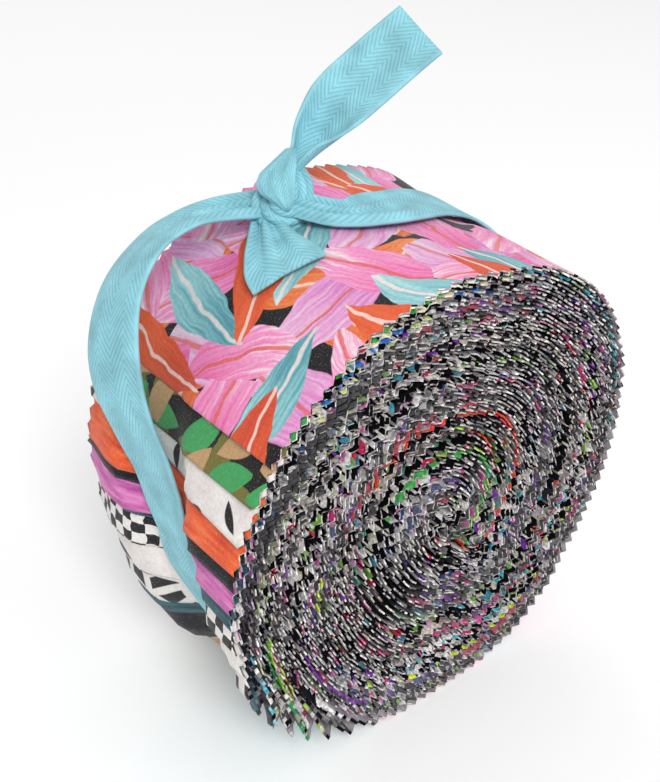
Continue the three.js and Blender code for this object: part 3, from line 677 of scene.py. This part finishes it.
def tape_twill(settings):
    """Dyed cotton twill tape: herringbone ribs that turn back at each column, between plain selvages, with
    painted shade in the rib grooves and soft painted shade for creases.
    """
    material, tree, shader = new_material("Dyed cotton herringbone tape", 0.75, 0.08)
    place = cloth_place(tree)
    apart = add_node(tree, "SeparateXYZ", {}, (0, place))
    full = settings.tape_width / MM
    zigzag = add_node(tree, "Math", {"operation": "PINGPONG"}, (0, apart.outputs[1]),
                      (1, full / settings.tape_columns))
    slanted = add_node(tree, "Math", {"operation": "MULTIPLY_ADD"},
                       (0, zigzag.outputs[0]), (1, 1.15), (2, apart.outputs[0]))
    pitch = settings.twill_pitch / MM
    wave = add_node(tree, "Math", {"operation": "MULTIPLY"}, (0, slanted.outputs[0]),
                    (1, 2 * math.pi / pitch))
    rib = add_node(tree, "Math", {"operation": "SINE"}, (0, wave.outputs[0]))
    thread = add_node(tree, "TexNoise", {}, ("Vector", place), ("Scale", 2.6), ("Detail", 3.0))
    # painted shade: the grooves between the twill ribs are darkened in the colour
    shade = add_node(tree, "MapRange", {}, (0, rib.outputs[0]), (1, -1.0), (2, 0.5), (3, 0.22), (4, 1.0))
    inner = add_node(tree, "Math", {"operation": "SUBTRACT"}, (0, apart.outputs[1]), (1, full / 2))
    aside = add_node(tree, "Math", {"operation": "ABSOLUTE"}, (0, inner.outputs[0]))
    selvage = add_node(tree, "MapRange", {}, (0, aside.outputs[0]), (1, full / 2 - 0.9), (2, full / 2 - 0.6))
    ribbed = add_node(tree, "Mix", {"data_type": "FLOAT"}, (0, selvage.outputs[0]), (2, shade.outputs[0]),
                      (3, 0.75))
    rib_shade_and_threads = add_node(tree, "Math", {"operation": "MULTIPLY_ADD"},
                    (0, thread.outputs["Fac"]), (1, 0.7), (2, ribbed.outputs[0]))
    # the ramp turns the rib shade and the thread noise into colour, from a painted shadow tone to a painted
    # highlight tone
    color = ramp(tree, rib_shade_and_threads.outputs[0], [(0.15, "#5a9fb3"), (0.6, "#7abdcc"), (1.0, "#93cfdb")])
    # painted shade: soft random darkening, by up to about a quarter, stands in for the shade in the tape's
    # creases
    crease_shade_noise = add_node(tree, "TexNoise", {}, ("Vector", place), ("Scale", 0.16), ("Detail", 3.0))
    crease_shade = add_node(tree, "MapRange", {}, (0, crease_shade_noise.outputs["Fac"]), (1, 0.3), (2, 0.7), (3, 0.74),
                       (4, 1.08))
    color = add_node(tree, "Mix", {"data_type": "RGBA", "blend_type": "MULTIPLY"},
                     (0, 1.0), (6, color), (7, crease_shade.outputs[0])).outputs[2]
    tree.links.new(color, shader.inputs["Base Color"])
    bump = add_node(tree, "Bump", {}, ("Strength", 0.5), ("Distance", 0.0002), ("Height", rib_shade_and_threads.outputs[0]))
    tree.links.new(bump.outputs[0], shader.inputs["Normal"])
    return material


class StripRollSettings(bpy.types.PropertyGroup):
    """Sizes and colours of the roll and its tape."""
    cloth_thickness: bpy.props.FloatProperty(
        name="Cloth thickness",
        description="Thickness of one drawn layer, a group of strips that cling together",
        default=0.38 * MM, min=0.0001, max=0.001, unit="LENGTH", subtype="DISTANCE")
    tape_width: bpy.props.FloatProperty(
        name="Tape width", description="Width of the twill tape where it lies flat",
        default=16 * MM, min=0.005, max=0.03, unit="LENGTH", subtype="DISTANCE")
    tape_thickness: bpy.props.FloatProperty(
        name="Tape thickness", description="Thickness of the twill tape",
        default=0.75 * MM, min=0.0003, max=0.002, unit="LENGTH", subtype="DISTANCE")
    tape_columns: bpy.props.IntProperty(
        name="Herringbone columns", description="Columns of ribs across the tape", default=4, min=1, max=8)
    twill_pitch: bpy.props.FloatProperty(
        name="Twill pitch", description="Distance from rib to rib along the tape",
        default=1.3 * MM, min=0.0003, max=0.003, unit="LENGTH", subtype="DISTANCE")


class StudioSettings(bpy.types.PropertyGroup):
    """The floor and the light."""
    floor_color: bpy.props.FloatVectorProperty(
        name="Floor colour", description="Colour of the floor", subtype="COLOR",
        default=(0.98, 0.98, 0.98), min=0, max=1)
    key_power: bpy.props.FloatProperty(
        name="Key light", description="Power of the large soft light", default=9.0, min=0, unit="POWER")
    sky: bpy.props.FloatProperty(
        name="Sky", description="Strength of the even white light from all round", default=0.6, min=0)


def edge_inks(points, along, strip):
    """The printed side's and the cut edge's colour at each step of a strip, from the motifs at its edge."""
    inks = EDGE_PRINTS[STRIP_PRINTS[strip % len(STRIP_PRINTS)]]
    weights = np.array([w for _, w in inks], float)
    table = np.array([ink(code)[:3] for code, _ in inks])
    rng = np.random.default_rng(100 + strip)
    count = len(along)
    motif = np.repeat(rng.random(count), rng.integers(1, 8, count))[:count]
    chosen = table[np.searchsorted(np.cumsum(weights) / weights.sum(), motif * 0.9999)]
    stray = rng.random(count) < 0.24
    chosen[stray] = speckles(rng, stray.sum(), [0.6, 0.2, 0.2])
    bright = np.zeros(count, bool)
    for stretch in BRIGHT_STRETCHES:
        here = (points[:, 3] == stretch["layer"]) & (points[:, 2] > stretch["from"])
        here &= points[:, 2] < stretch["to"]
        here &= np.repeat(rng.random(count), 4)[:count] < stretch["cover"]
        here &= rng.random(count) < 0.9
        chosen[here] = np.array(ink(stretch["ink"])[:3]) * rng.uniform(0.75, 1.1, (here.sum(), 1))
        bright |= here
    chosen *= rng.uniform(0.85, 1.1, (count, 1))
    cut = chosen * 0.42 + speckles(rng, count, [0.29, 0.32, 0.39]) * 0.78
    cut[bright] = chosen[bright] * 0.85 + speckles(rng, bright.sum(), [0.5, 0.3, 0.2]) * 0.25
    return chosen, cut


def speckles(rng, count, shares):
    """Loose thread ends on the cut edges: black, grey and white in the given shares."""
    tones = np.array([ink(code)[:3] for code in ("#060507", "#7a767d", "#d2cecc")])
    return tones[rng.choice(3, count, p=shares)] * rng.uniform(0.7, 1.15, (count, 1))


def skin_start(layer):
    """Where a layer comes out from under the one above it, and is drawn as a whole strip from there."""
    if layer == LAYERS:
        return -112.0
    above, place = bunch_of(layer + 1)
    return above["end"] - END_STAGGER * place - END_OVERLAP


def edge_band(points, along, strip, front, thickness):
    """The pinked edge of one strip at one end of the roll, as corners, faces and face colours."""
    rng = np.random.default_rng(strip * 31 + (1 if front else 2))
    x, z, wound, layer = points.T
    count = len(along)
    radius = np.hypot(x, z)
    tangent = np.stack([np.gradient(x), np.gradient(z)], 1)
    tangent /= np.linalg.norm(tangent, axis=1)[:, None] + 1e-9
    normal = np.stack([-tangent[:, 1], tangent[:, 0]], 1)
    inner = outline(wound) * turn_share(wound - TURN)
    outer = outline(wound) * turn_share(wound)
    share = np.clip((radius - inner) / np.maximum(outer - inner, 1), 0, 1)
    near_edge = smooth(1 - np.minimum(share, 1 - share) / 0.14)
    groove = GROOVE_DEPTH * near_edge * smooth((outline(wound) - radius) / 6) * smooth(radius / 14)
    stray = 0.4 * ripple(strip * 3 + 5, along / 23) + 0.4 * ripple(7, x / 9, z / 9) + rng.uniform(-0.35, 0.35)
    number, place = np.divmod(np.arange(count), TOOTH_STEPS)
    tooth = TOOTH_DEPTH * (1 - np.abs(place / TOOTH_STEPS * 2 - 1))
    tooth = tooth * rng.uniform(0.75, 1.12, count)[number]
    edge = np.maximum(groove + 0.9 + stray + tooth + rng.uniform(-0.16, 0.16, count), 0.1)
    lean = rng.uniform(-0.3, 0.3, count)[number] * (1 - tooth / TOOTH_DEPTH)
    buried = np.clip(1 - (outline(wound) - radius) / 24, 0, 1)
    corners = []
    for depth, shift in ((edge, lean), (groove + EDGE_BAND + stray, np.zeros(count))):
        across = depth if front else STRIP_WIDTH - depth
        pull = waist(wound, across) * buried
        r = on_floor(wound, (radius - pull))
        for face in (0.5, -0.5):
            px = x / np.maximum(radius, 1e-6) * r + normal[:, 0] * (face * thickness + shift)
            pz = z / np.maximum(radius, 1e-6) * r + normal[:, 1] * (face * thickness + shift)
            corners.append(np.stack([px, across - STRIP_WIDTH / 2, pz + AXIS_HEIGHT], 1))
    corners = np.stack(corners, 1).reshape(-1, 3)
    hidden = np.array([skin_start(k) for k in range(1, LAYERS + 1)])[layer.astype(int) - 1] < wound
    kept = np.arange(count - 1)[~hidden[:-1]]
    first = kept * 4
    printed, cut = (colors[kept] for colors in edge_inks(points, along, strip))
    wrong = printed * 0.6 + np.array(CUT_WHITE) * 0.14
    faces, colors = [], []
    for quad, color in (((0, 4, 6, 2), printed), ((1, 3, 7, 5), wrong), ((0, 1, 5, 4), cut)):
        order = quad if front else quad[::-1]
        faces.append(first[:, None] + np.array(order))
        colors.append(color)
    faces = np.concatenate(faces)
    colors = np.concatenate(colors)
    return corners, faces, np.column_stack([colors, np.ones(len(colors))])


class OBJECT_OT_strip_edges(bpy.types.Operator):
    """Build the wound stack's pinked edges on both ends of the roll"""
    bl_idname = "object.strip_edges"
    bl_label = "Strip Edges"

    def execute(self, context):
        thickness = context.scene.strip_roll.cloth_thickness / MM
        material = edge_cotton()
        stack = strips()
        for name, front in (("strip_edges_front", True), ("strip_edges_back", False)):
            corners, faces, colors, base = [], [], [], 0
            for strip, (points, along) in enumerate(stack):
                c, f, k = edge_band(points, along, strip, front, thickness)
                corners.append(c)
                faces.append(f + base)
                colors.append(k)
                base += len(c)
            piece = mesh_object(name, np.concatenate(corners), np.concatenate(faces), [material],
                                colors=np.concatenate(colors), flat=True)
            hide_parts("fabric_roll")
        return {"FINISHED"}


class OBJECT_OT_roll_core(bpy.types.Operator):
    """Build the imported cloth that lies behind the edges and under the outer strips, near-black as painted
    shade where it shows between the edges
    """
    bl_idname = "object.roll_core"
    bl_label = "Roll Core"

    def execute(self, context):
        material, tree, shader = new_material("Packed quilting cotton, painted shade between the edges", 0.95, 0.0)
        spot = add_node(tree, "TexCoord", {})
        fine = add_node(tree, "TexNoise", {}, ("Vector", spot.outputs["Object"]), ("Scale", 900.0))
        # painted shade: the packed cloth is near-black, so the gaps between the layers' edges read as shadow
        tree.links.new(ramp(tree, fine.outputs["Fac"], [(0.35, "#040405"), (0.65, "#141317")]),
                       shader.inputs["Base Color"])
        angles = np.arange(0, TURN, 3.0)
        places = np.linspace(EDGE_BAND - 0.7, STRIP_WIDTH - EDGE_BAND + 0.7, 16)
        rings = []
        first = [(0.0, places[0]), (0.5, places[0])]
        last = [(0.5, places[-1]), (0.0, places[-1])]
        for share, across in first + [(1.0, p) for p in places] + last:
            radius = (outline(angles) - 1.6 - 2.6 * smooth((angles - 140) / 30)
                      * smooth((262 - angles) / 12)) * share
            radius = on_floor(angles, radius + 0.3) - 0.3 - waist(angles,
                                                                  np.full_like(angles, across)) * share
            turn = np.radians(angles)
            rings.append(np.stack([radius * np.cos(turn), np.full_like(angles, across - STRIP_WIDTH / 2),
                                   AXIS_HEIGHT + radius * np.sin(turn)], 1))
        count = len(angles)
        corners = np.concatenate(rings)
        faces = []
        for ring in range(len(rings) - 1):
            for i in range(count):
                j = (i + 1) % count
                faces.append([ring * count + i, ring * count + count + i, ring * count + count + j,
                              ring * count + j])
        piece = mesh_object("roll_core", corners, faces, [material])
        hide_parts("fabric_roll")
        return {"FINISHED"}


def strip_skin(name, start, layer, materials, thickness, seed):
    """One strip's visible stretch on the rim, as a sheet with pinked long edges and a straight cut end."""
    bunch, place = bunch_of(layer)
    end = bunch["end"] - END_STAGGER * place
    step = TOOTH_PITCH / 4
    count = int(math.radians(end - start) * MEAN_RADIUS / step)
    t = np.linspace(0, 1, count)
    inside = np.linspace(3.2, STRIP_WIDTH - 3.2, 22)
    rng = np.random.default_rng(seed)
    teeth = TOOTH_DEPTH * np.abs((np.arange(count) % 4) - 2) / 2
    jitter = np.repeat(rng.uniform(0.75, 1.15, count // 4 + 1), 4)[:count]
    front = 0.35 + teeth * jitter + 0.25 * ripple(seed, t * 9)
    back = STRIP_WIDTH - 0.35 - teeth * jitter + 0.25 * ripple(seed + 1, t * 9)
    rows = np.concatenate([front[:, None], np.repeat(inside[None], count, 0), back[:, None]], 1)
    cut = end + bunch["skew"] * rows / STRIP_WIDTH
    if bunch["lift"] > 1:
        cut = cut + WORN_CORNER * smooth(np.minimum(rows, STRIP_WIDTH - rows) / WORN_REACH)
    angle = start + (cut - start) * t[:, None]
    radius = layer_radius(angle, layer)
    share = np.clip((angle - end + LIFT_RUN) / LIFT_RUN, 0, 1)
    pull = waist(angle, rows)
    pulled = np.clip(pull / np.maximum(around(WAIST, "depth", angle), 0.2), 0, 1)
    radius = radius - pull - bunch["lift"] * share * share * pulled
    radius = np.minimum(radius, np.where(pulled > 0.95, outline(angle) - pull, radius))
    crumple = 0.28 * ripple(seed + 2, angle / 5.5,
                            rows / 11) + 0.35 * pulled * (1 - pulled) * 4 * np.sin(angle / 2.1 + rows / 9)
    outer = on_floor(angle, radius + crumple)
    inner = outer - thickness * (1 + 1.4 * (bunch["lift"] > 1))
    corners = []
    for r in (outer, inner):
        turn = np.radians(angle)
        corners.append(np.stack([r * np.cos(turn), rows - STRIP_WIDTH / 2, AXIS_HEIGHT + r * np.sin(turn)],
                                2))
    wide = rows.shape[1]
    corners = np.concatenate([c.reshape(-1, 3) for c in corners])
    along = np.radians(angle) * MEAN_RADIUS
    uv = np.stack([along.ravel(), rows.ravel()], 1)
    uv = np.concatenate([uv, uv])
    faces, kinds = [], []
    under = count * wide
    for i in range(count - 1):
        for j in range(wide - 1):
            a, b, c, d = i * wide + j, i * wide + j + 1, (i + 1) * wide + j + 1, (i + 1) * wide + j
            faces.append([a, b, c, d])
            faces.append([under + d, under + c, under + b, under + a])
            kinds += [0, 1]
    rim = [j for j in range(wide)] + [i * wide + wide - 1 for i in range(1, count)]
    rim += [(count - 1) * wide
            + j for j in range(wide - 2, -1, -1)] + [i * wide for i in range(count - 2, 0, -1)]
    edge_rows = np.column_stack([angle[:, 0], angle[:, 0], angle[:, 0], np.full(count, layer)])
    _, inks = edge_inks(edge_rows, t, layer)
    colors = [(1.0, 1.0, 1.0)] * len(faces)
    for a, b in zip(rim, rim[1:] + rim[:1]):
        faces.append([b, a, under + a, under + b])
        kinds.append(2)
        colors.append(inks[(a // wide + 5 * (a % wide)) % count])
    colors = np.column_stack([np.array(colors), np.ones(len(colors))])
    piece = mesh_object(name, corners, faces, materials, face_material=kinds, uv=uv, colors=colors)
    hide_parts("fabric_roll")
    return piece


class OBJECT_OT_outer_strips(bpy.types.Operator):
    """Build the outermost strip and the staggered strip ends on the rim"""
    bl_idname = "object.outer_strips"
    bl_label = "Outer Strips"

    def execute(self, context):
        thickness = context.scene.strip_roll.cloth_thickness / MM
        back, edge = cotton_back(), edge_cotton()
        prints = {
            "petals": petals_print(),
            "foliage": foliage_print(),
            "seeds": seeds_print(),
            "pebbles": pebbles_print(),
            "checks": checks_print(),
            "brushed_orange": brushed_print("brushed orange", ["#c9401d", "#e2582c", "#ee7a45"], 1),
            "brushed_pink": brushed_print("brushed pink", ["#a5478f", "#c765a9", "#dd8fc2"], 2),
            "teal": brushed_print("brushed dark teal", ["#142a33", "#24505a", "#3a6f78"], 3),
            "black": brushed_print("black", ["#0d0c10", "#17151b", "#2a2530"], 4),
        }
        for layer in range(LAYERS, 0, -1):
            bunch, _ = bunch_of(layer)
            name = "outer_strip" if layer == LAYERS else f"strip_end_{LAYERS - layer:02d}"
            strip_skin(name, skin_start(layer), layer, [prints[bunch["print"]], back, edge], thickness,
                       64 - layer)
        return {"FINISHED"}


def spline(rows, columns, step):
    """Runs a smooth line through a table's rows, with a sample each step, in millimetres."""
    keys = np.stack([np.asarray(rows[c], float) for c in columns], 1)
    place = keys[:, :2].copy()
    if columns[0] == "angle":
        place[:, 0] = np.radians(place[:, 0]) * MEAN_RADIUS
    else:
        place = keys[:, :3]
    length = np.concatenate([[0], np.cumsum(np.linalg.norm(np.diff(place, axis=0), axis=1))])
    slopes = np.gradient(keys, length, axis=0)
    at = np.linspace(0, length[-1], max(int(length[-1] / step), 2))
    i = np.clip(np.searchsorted(length, at, side="right") - 1, 0, len(length) - 2)
    span = (length[i + 1] - length[i])[:, None]
    t = ((at - length[i])[:, None]) / span
    h = [2 * t**3 - 3 * t**2 + 1, t**3 - 2 * t**2 + t, -2 * t**3 + 3 * t**2, t**3 - t**2]
    values = h[0] * keys[i] + h[1] * span * slopes[i] + h[2] * keys[i + 1] + h[3] * span * slopes[i + 1]
    return values, at


TABS = 33


def pleats(width, full, share):
    """How far a gathered tape's surface rises: folds that keep its full width."""
    spare = np.clip(1 - width / full, 0, 0.7)
    folds = 2.5
    height = width / (math.pi * folds) * np.sqrt(np.maximum(1 / (1 - spare) ** 2 - 1, 0)) * 0.55
    return height * np.cos(share * math.pi * folds)


def tape_mesh(name, sections, lengths, thickness, full, material, start=0.0):
    """A strip of tape through sections of (points, normals), with its cloth coordinates."""
    middle, normal = sections
    count, wide = middle.shape[:2]
    corners = np.concatenate([(middle + normal * thickness / 2).reshape(-1, 3),
                              (middle - normal * thickness / 2).reshape(-1, 3)])
    across = np.repeat(np.linspace(0, full, wide)[None], count, 0)
    uv = np.stack([np.repeat((lengths + start)[:, None], wide, 1).ravel(), across.ravel()], 1)
    uv = np.concatenate([uv, uv])
    under = count * wide
    faces = []
    for i in range(count - 1):
        for j in range(wide - 1):
            a, b, c, d = i * wide + j, i * wide + j + 1, (i + 1) * wide + j + 1, (i + 1) * wide + j
            faces += [[a, d, c, b], [under + a, under + b, under + c, under + d]]
    rim = [j for j in range(wide)] + [i * wide + wide - 1 for i in range(1, count)]
    rim += [(count - 1) * wide
            + j for j in range(wide - 2, -1, -1)] + [i * wide for i in range(count - 2, 0, -1)]
    for a, b in zip(rim, rim[1:] + rim[:1]):
        faces.append([a, b, under + b, under + a])
    piece = mesh_object(name, corners, faces, [material], uv=uv)
    return piece


def lying_sections(values, full, seed):
    """Sections of tape that lies on or over the roll: each point follows the roll under it."""
    angle, across, lift, width, tilt = values.T
    u = np.stack([np.radians(angle) * MEAN_RADIUS, across], 1)
    along = np.gradient(u, axis=0)
    along /= np.linalg.norm(along, axis=1)[:, None]
    share = np.linspace(-1, 1, TABS)
    raised = share[None] * width[:, None] / 2 * np.sin(np.radians(tilt))[:, None]
    aside = share[None] * width[:, None] / 2 * np.cos(np.radians(tilt))[:, None]
    tab_angle = angle[:, None] + np.degrees(along[:, 1:2] * aside / MEAN_RADIUS)
    tab_across = across[:, None] - along[:, 0:1] * aside
    floor = around(OUTLINE, "radius", tab_angle) - around(WAIST, "depth", tab_angle)
    fold = pleats(width[:, None], full, share[None] + 0.15)
    wave = 0.16 * ripple(seed, u[:, 0:1] / 9, share[None] * 2.2) * (1 + np.minimum(lift, 4)[:, None] / 3)
    over_roll = np.maximum(lift[:, None] + raised + fold, -0.1)
    radius = floor + LAY_GAP + CAD_TAPE / 2 + over_roll + wave
    turn = np.radians(tab_angle)
    middle = np.stack([radius * np.cos(turn), tab_across - STRIP_WIDTH / 2,
                       AXIS_HEIGHT + radius * np.sin(turn)], 2)
    return middle, surface_normals(middle)


def surface_normals(middle):
    """Unit normals of a grid of points, pointing away from the cloth's right side."""
    rows = np.gradient(middle, axis=0)
    columns = np.gradient(middle, axis=1)
    normal = np.cross(columns, rows)
    return normal / (np.linalg.norm(normal, axis=2)[..., None] + 1e-9)


class OBJECT_OT_tape_band(bpy.types.Operator):
    """Build the tape round the roll, from one side of the knot to the other"""
    bl_idname = "object.tape_band"
    bl_label = "Tape Band"

    def execute(self, context):
        settings = context.scene.strip_roll
        full = settings.tape_width / MM
        angles = np.arange(ON_ROLL[0], ON_ROLL[1] + 0.1, 9.0)
        rows = {
            "angle": TAPE_FROM_KNOT["angle"] + angles.tolist() + TAPE_TO_KNOT["angle"],
            "across": TAPE_FROM_KNOT["across"] + around(WAIST, "across",
                                                        angles).tolist() + TAPE_TO_KNOT["across"],
            "lift": TAPE_FROM_KNOT["lift"] + [0.0] * len(angles) + TAPE_TO_KNOT["lift"],
            "width": TAPE_FROM_KNOT["width"] + [full] * len(angles) + TAPE_TO_KNOT["width"],
            "tilt": TAPE_FROM_KNOT["tilt"] + [0.0] * len(angles) + TAPE_TO_KNOT["tilt"],
        }
        values, lengths = spline(rows, ("angle", "across", "lift", "width", "tilt"), 1.1)
        values[:, 3] = np.minimum(values[:, 3], full)
        values[:, 2] = np.maximum(values[:, 2], 0)
        sections = lying_sections(values, full, 3)
        piece = tape_mesh("tape_band", sections, lengths, settings.tape_thickness / MM, full,
                          tape_material(settings))
        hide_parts("tie_band")
        return {"FINISHED"}


class OBJECT_OT_tape_ends(bpy.types.Operator):
    """Build the two free ends of the tape"""
    bl_idname = "object.tape_ends"
    bl_label = "Tape Ends"

    def execute(self, context):
        settings = context.scene.strip_roll
        full = settings.tape_width / MM
        thickness = settings.tape_thickness / MM
        values, lengths = spline(SHORT_END, ("angle", "across", "lift", "width", "tilt"), 0.8)
        sections = lying_sections(values, full, 5)
        short = tape_mesh("tape_end_short", sections, lengths, thickness, full, tape_material(settings), 4.0)
        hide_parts("tie_end_short")

        values, lengths = spline(LONG_END, ("x", "y", "z", "trough", "gather", "turn"), 0.8)
        centre = values[:, :3] + np.array([0, -STRIP_WIDTH / 2, AXIS_HEIGHT])
        along = np.gradient(centre, axis=0)
        along /= np.linalg.norm(along, axis=1)[:, None]
        share = np.linspace(-1, 1, TABS)
        middle = np.empty((len(centre), TABS, 3))
        for i, (point, line) in enumerate(zip(centre, along)):
            line = Vector(line)
            wide = Vector((0, -1, 0))
            wide = (wide - line * wide.dot(line)).normalized()
            wide = Matrix.Rotation(math.radians(values[i, 5]), 3, line) @ wide
            normal = wide.cross(line).normalized()
            half = math.radians(max(values[i, 3], 2)) / 2
            bend = full * min(values[i, 4], 1) / 2 / half
            aside = bend * np.sin(share * half)
            rise = bend * (1 - np.cos(share * half)) - 0.72 * bend * (1 - math.cos(half))
            rise = rise + 0.3 * ripple(21, i / 11, share * 1.6)
            for j in range(TABS):
                middle[i, j] = Vector(point) + wide * aside[j] + normal * rise[j]
        sections = (middle, -surface_normals(middle))
        long = tape_mesh("tape_end_long", sections, lengths, thickness, full, tape_material(settings), 9.0)
        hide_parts("tie_end_long")
        return {"FINISHED"}


def tape_material(settings):
    """The tape's one material, made once."""
    return bpy.data.materials.get("Dyed cotton herringbone tape") or tape_twill(settings)


def knot_frame():
    """The knot's centre and its directions: right, upward and toward the viewer."""
    centre = np.array([KNOT["x"], KNOT["y"] - STRIP_WIDTH / 2, KNOT["z"] + AXIS_HEIGHT])
    out = KNOT_SIDE.cross(KNOT_UP).normalized()
    return centre, np.array(KNOT_SIDE), np.array(KNOT_UP), np.array(out)


class OBJECT_OT_tape_knot(bpy.types.Operator):
    """Build the knot from its gathered wraps"""
    bl_idname = "object.tape_knot"
    bl_label = "Tape Knot"

    def execute(self, context):
        settings = context.scene.strip_roll
        full = settings.tape_width / MM
        material = tape_material(settings)
        centre, side, up, out = knot_frame()
        steps, tabs = 96, 33
        share = np.linspace(-1, 1, tabs)
        turn = np.arange(steps) / steps * 2 * math.pi
        height = KNOT_CENTRE + KNOT_REACH * np.cos(turn)
        middle, half, lean = (np.interp(height, KNOT_FRONT["up"], KNOT_FRONT[c]) for c in ("middle", "half",
                                                                                           "out"))
        gather = 0.26 * np.cos(share[None] * 3.3 * math.pi + 1.3 * np.sin(turn[:, None] + 0.6))
        thick = KNOT_DEPTH * (1 - 0.3 * np.abs(share[None]) ** 3) + gather
        points = (centre + side * (middle[:, None] + share[None] * half[:, None])[..., None]
                  + up * (height[:, None] - 0.25 * share[None] ** 2 * np.cos(turn[:, None]))[..., None]
                  + out * (thick * np.sin(turn[:, None]) + lean[:, None])[..., None])
        corners = points.reshape(-1, 3)
        uv = np.stack([np.repeat((turn * 6.2)[:, None], tabs, 1).ravel(),
                       np.repeat((share[None] + 1) * full / 2, steps, 0).ravel()], 1)
        faces = []
        for i in range(steps):
            n = (i + 1) % steps
            for j in range(tabs - 1):
                faces.append([i * tabs + j, n * tabs + j, n * tabs + j + 1, i * tabs + j + 1])
        faces.append([i * tabs for i in range(steps)][::-1])
        faces.append([i * tabs + tabs - 1 for i in range(steps)])
        piece = mesh_object("tape_knot_front", corners, faces, [material], uv=uv)
        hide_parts("tie_knot")
        for name, table, start in (("tape_knot_low", KNOT_LOW, 40.0), ("tape_knot_back", KNOT_BACK, 70.0)):
            values, lengths = spline(table, ("side", "up", "out", "width"), 0.5)
            line = np.gradient(values[:, :3], axis=0)
            line /= np.linalg.norm(line, axis=1)[:, None]
            outward = (values[:, :3] - np.array([0.0, -2.5, 0.0])) * 0.12 + np.array([0.0, 0.0, 1.0])
            wide = np.cross(outward, line)
            wide /= np.linalg.norm(wide, axis=1)[:, None]
            normal = np.cross(line, wide)
            aside = share[None] * values[:, 3:4] / 2
            rise = 0.5 * (1 - share**2)[None] + 0.35 * np.cos(share[None] * 2.4 * math.pi + 0.4)
            local = values[:, None, :3] + wide[:, None] * aside[..., None] + normal[:, None] * rise[..., None]
            grid = centre + local[..., 0:1] * side + local[..., 1:2] * up + local[..., 2:3] * out
            sections = (grid, surface_normals(grid))
            piece = tape_mesh(name, sections, lengths, 1.1, full, material, start)
            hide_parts("tie_knot")
        return {"FINISHED"}


class OBJECT_OT_studio(bpy.types.Operator):
    """Set up the pale floor, the soft lights and the camera"""
    bl_idname = "object.studio"
    bl_label = "Studio"

    def execute(self, context):
        settings = context.scene.strip_studio
        size = 3.0
        mesh = bpy.data.meshes.new("floor")
        mesh.from_pydata([(-size, -size, 0), (size, -size, 0), (size, size, 0), (-size, size, 0)], [],
                         [(0, 1, 2, 3)])
        floor = bpy.data.objects.new("floor", mesh)
        context.scene.collection.objects.link(floor)
        material = bpy.data.materials.new("Matte painted floor")
        material.use_nodes = True
        shader = material.node_tree.nodes["Principled BSDF"]
        shader.inputs["Base Color"].default_value = (*settings.floor_color, 1)
        shader.inputs["Roughness"].default_value = 0.9
        mesh.materials.append(material)
        world = bpy.data.worlds.new("Studio")
        context.scene.world = world
        world.use_nodes = True
        world.node_tree.nodes["Background"].inputs[0].default_value = (1, 1, 1, 1)
        world.node_tree.nodes["Background"].inputs[1].default_value = settings.sky
        # Plain colour handling, so that cloth keeps the strength of its inks
        context.scene.view_settings.view_transform = "Standard"
        target = Vector((0, 0, 0.06))
        for name, place, power, wide in (
            ("key", (-0.35, -0.75, 0.95), settings.key_power, 0.45),
            ("fill", (0.95, -0.6, 0.5), settings.key_power * 0.22, 0.8),
            ("back", (0.2, 0.9, 0.8), settings.key_power * 0.2, 0.6),
        ):
            light = bpy.data.objects.new(name, bpy.data.lights.new(name, "AREA"))
            light.data.energy = power
            light.data.size = wide
            light.location = place
            light.rotation_mode = "QUATERNION"
            light.rotation_quaternion = (target - light.location).to_track_quat("-Z", "Y")
            context.scene.collection.objects.link(light)
        camera = bpy.data.objects.new("camera", bpy.data.cameras.new("camera"))
        back = CAMERA_RIGHT.cross(CAMERA_UP).normalized()
        turn = Matrix((CAMERA_RIGHT, CAMERA_UP, back)).transposed()
        camera.matrix_world = Matrix.Translation(CAMERA_AT) @ turn.to_4x4()
        camera.data.lens = CAMERA_LENS
        camera.data.clip_start = 0.01
        context.scene.collection.objects.link(camera)
        context.scene.camera = camera
        return {"FINISHED"}


class VIEW3D_PT_strip_roll(bpy.types.Panel):
    bl_label = "Strip Roll"
    bl_idname = "VIEW3D_PT_strip_roll"
    bl_space_type = "VIEW_3D"
    bl_region_type = "UI"
    bl_category = "Strip Roll"

    def draw(self, context):
        for group in (context.scene.strip_roll, context.scene.strip_studio):
            for name in group.__annotations__:
                self.layout.prop(group, name)
        for operator in OPERATORS:
            self.layout.operator(operator.bl_idname)


OPERATORS = (
    OBJECT_OT_studio,
    OBJECT_OT_roll_core,
    OBJECT_OT_strip_edges,
    OBJECT_OT_outer_strips,
    OBJECT_OT_tape_band,
    OBJECT_OT_tape_knot,
    OBJECT_OT_tape_ends,
)
CLASSES = (StripRollSettings, StudioSettings, *OPERATORS, VIEW3D_PT_strip_roll)


def register():
    for cls in CLASSES:
        bpy.utils.register_class(cls)
    bpy.types.Scene.strip_roll = bpy.props.PointerProperty(type=StripRollSettings)
    bpy.types.Scene.strip_studio = bpy.props.PointerProperty(type=StudioSettings)


def unregister():
    del bpy.types.Scene.strip_studio
    del bpy.types.Scene.strip_roll
    for cls in reversed(CLASSES):
        bpy.utils.unregister_class(cls)


def main():
    register()
    bpy.ops.object.studio()
    bpy.ops.object.roll_core()
    bpy.ops.object.strip_edges()
    bpy.ops.object.outer_strips()
    bpy.ops.object.tape_band()
    bpy.ops.object.tape_knot()
    bpy.ops.object.tape_ends()


if __name__ == "__main__":
    main()
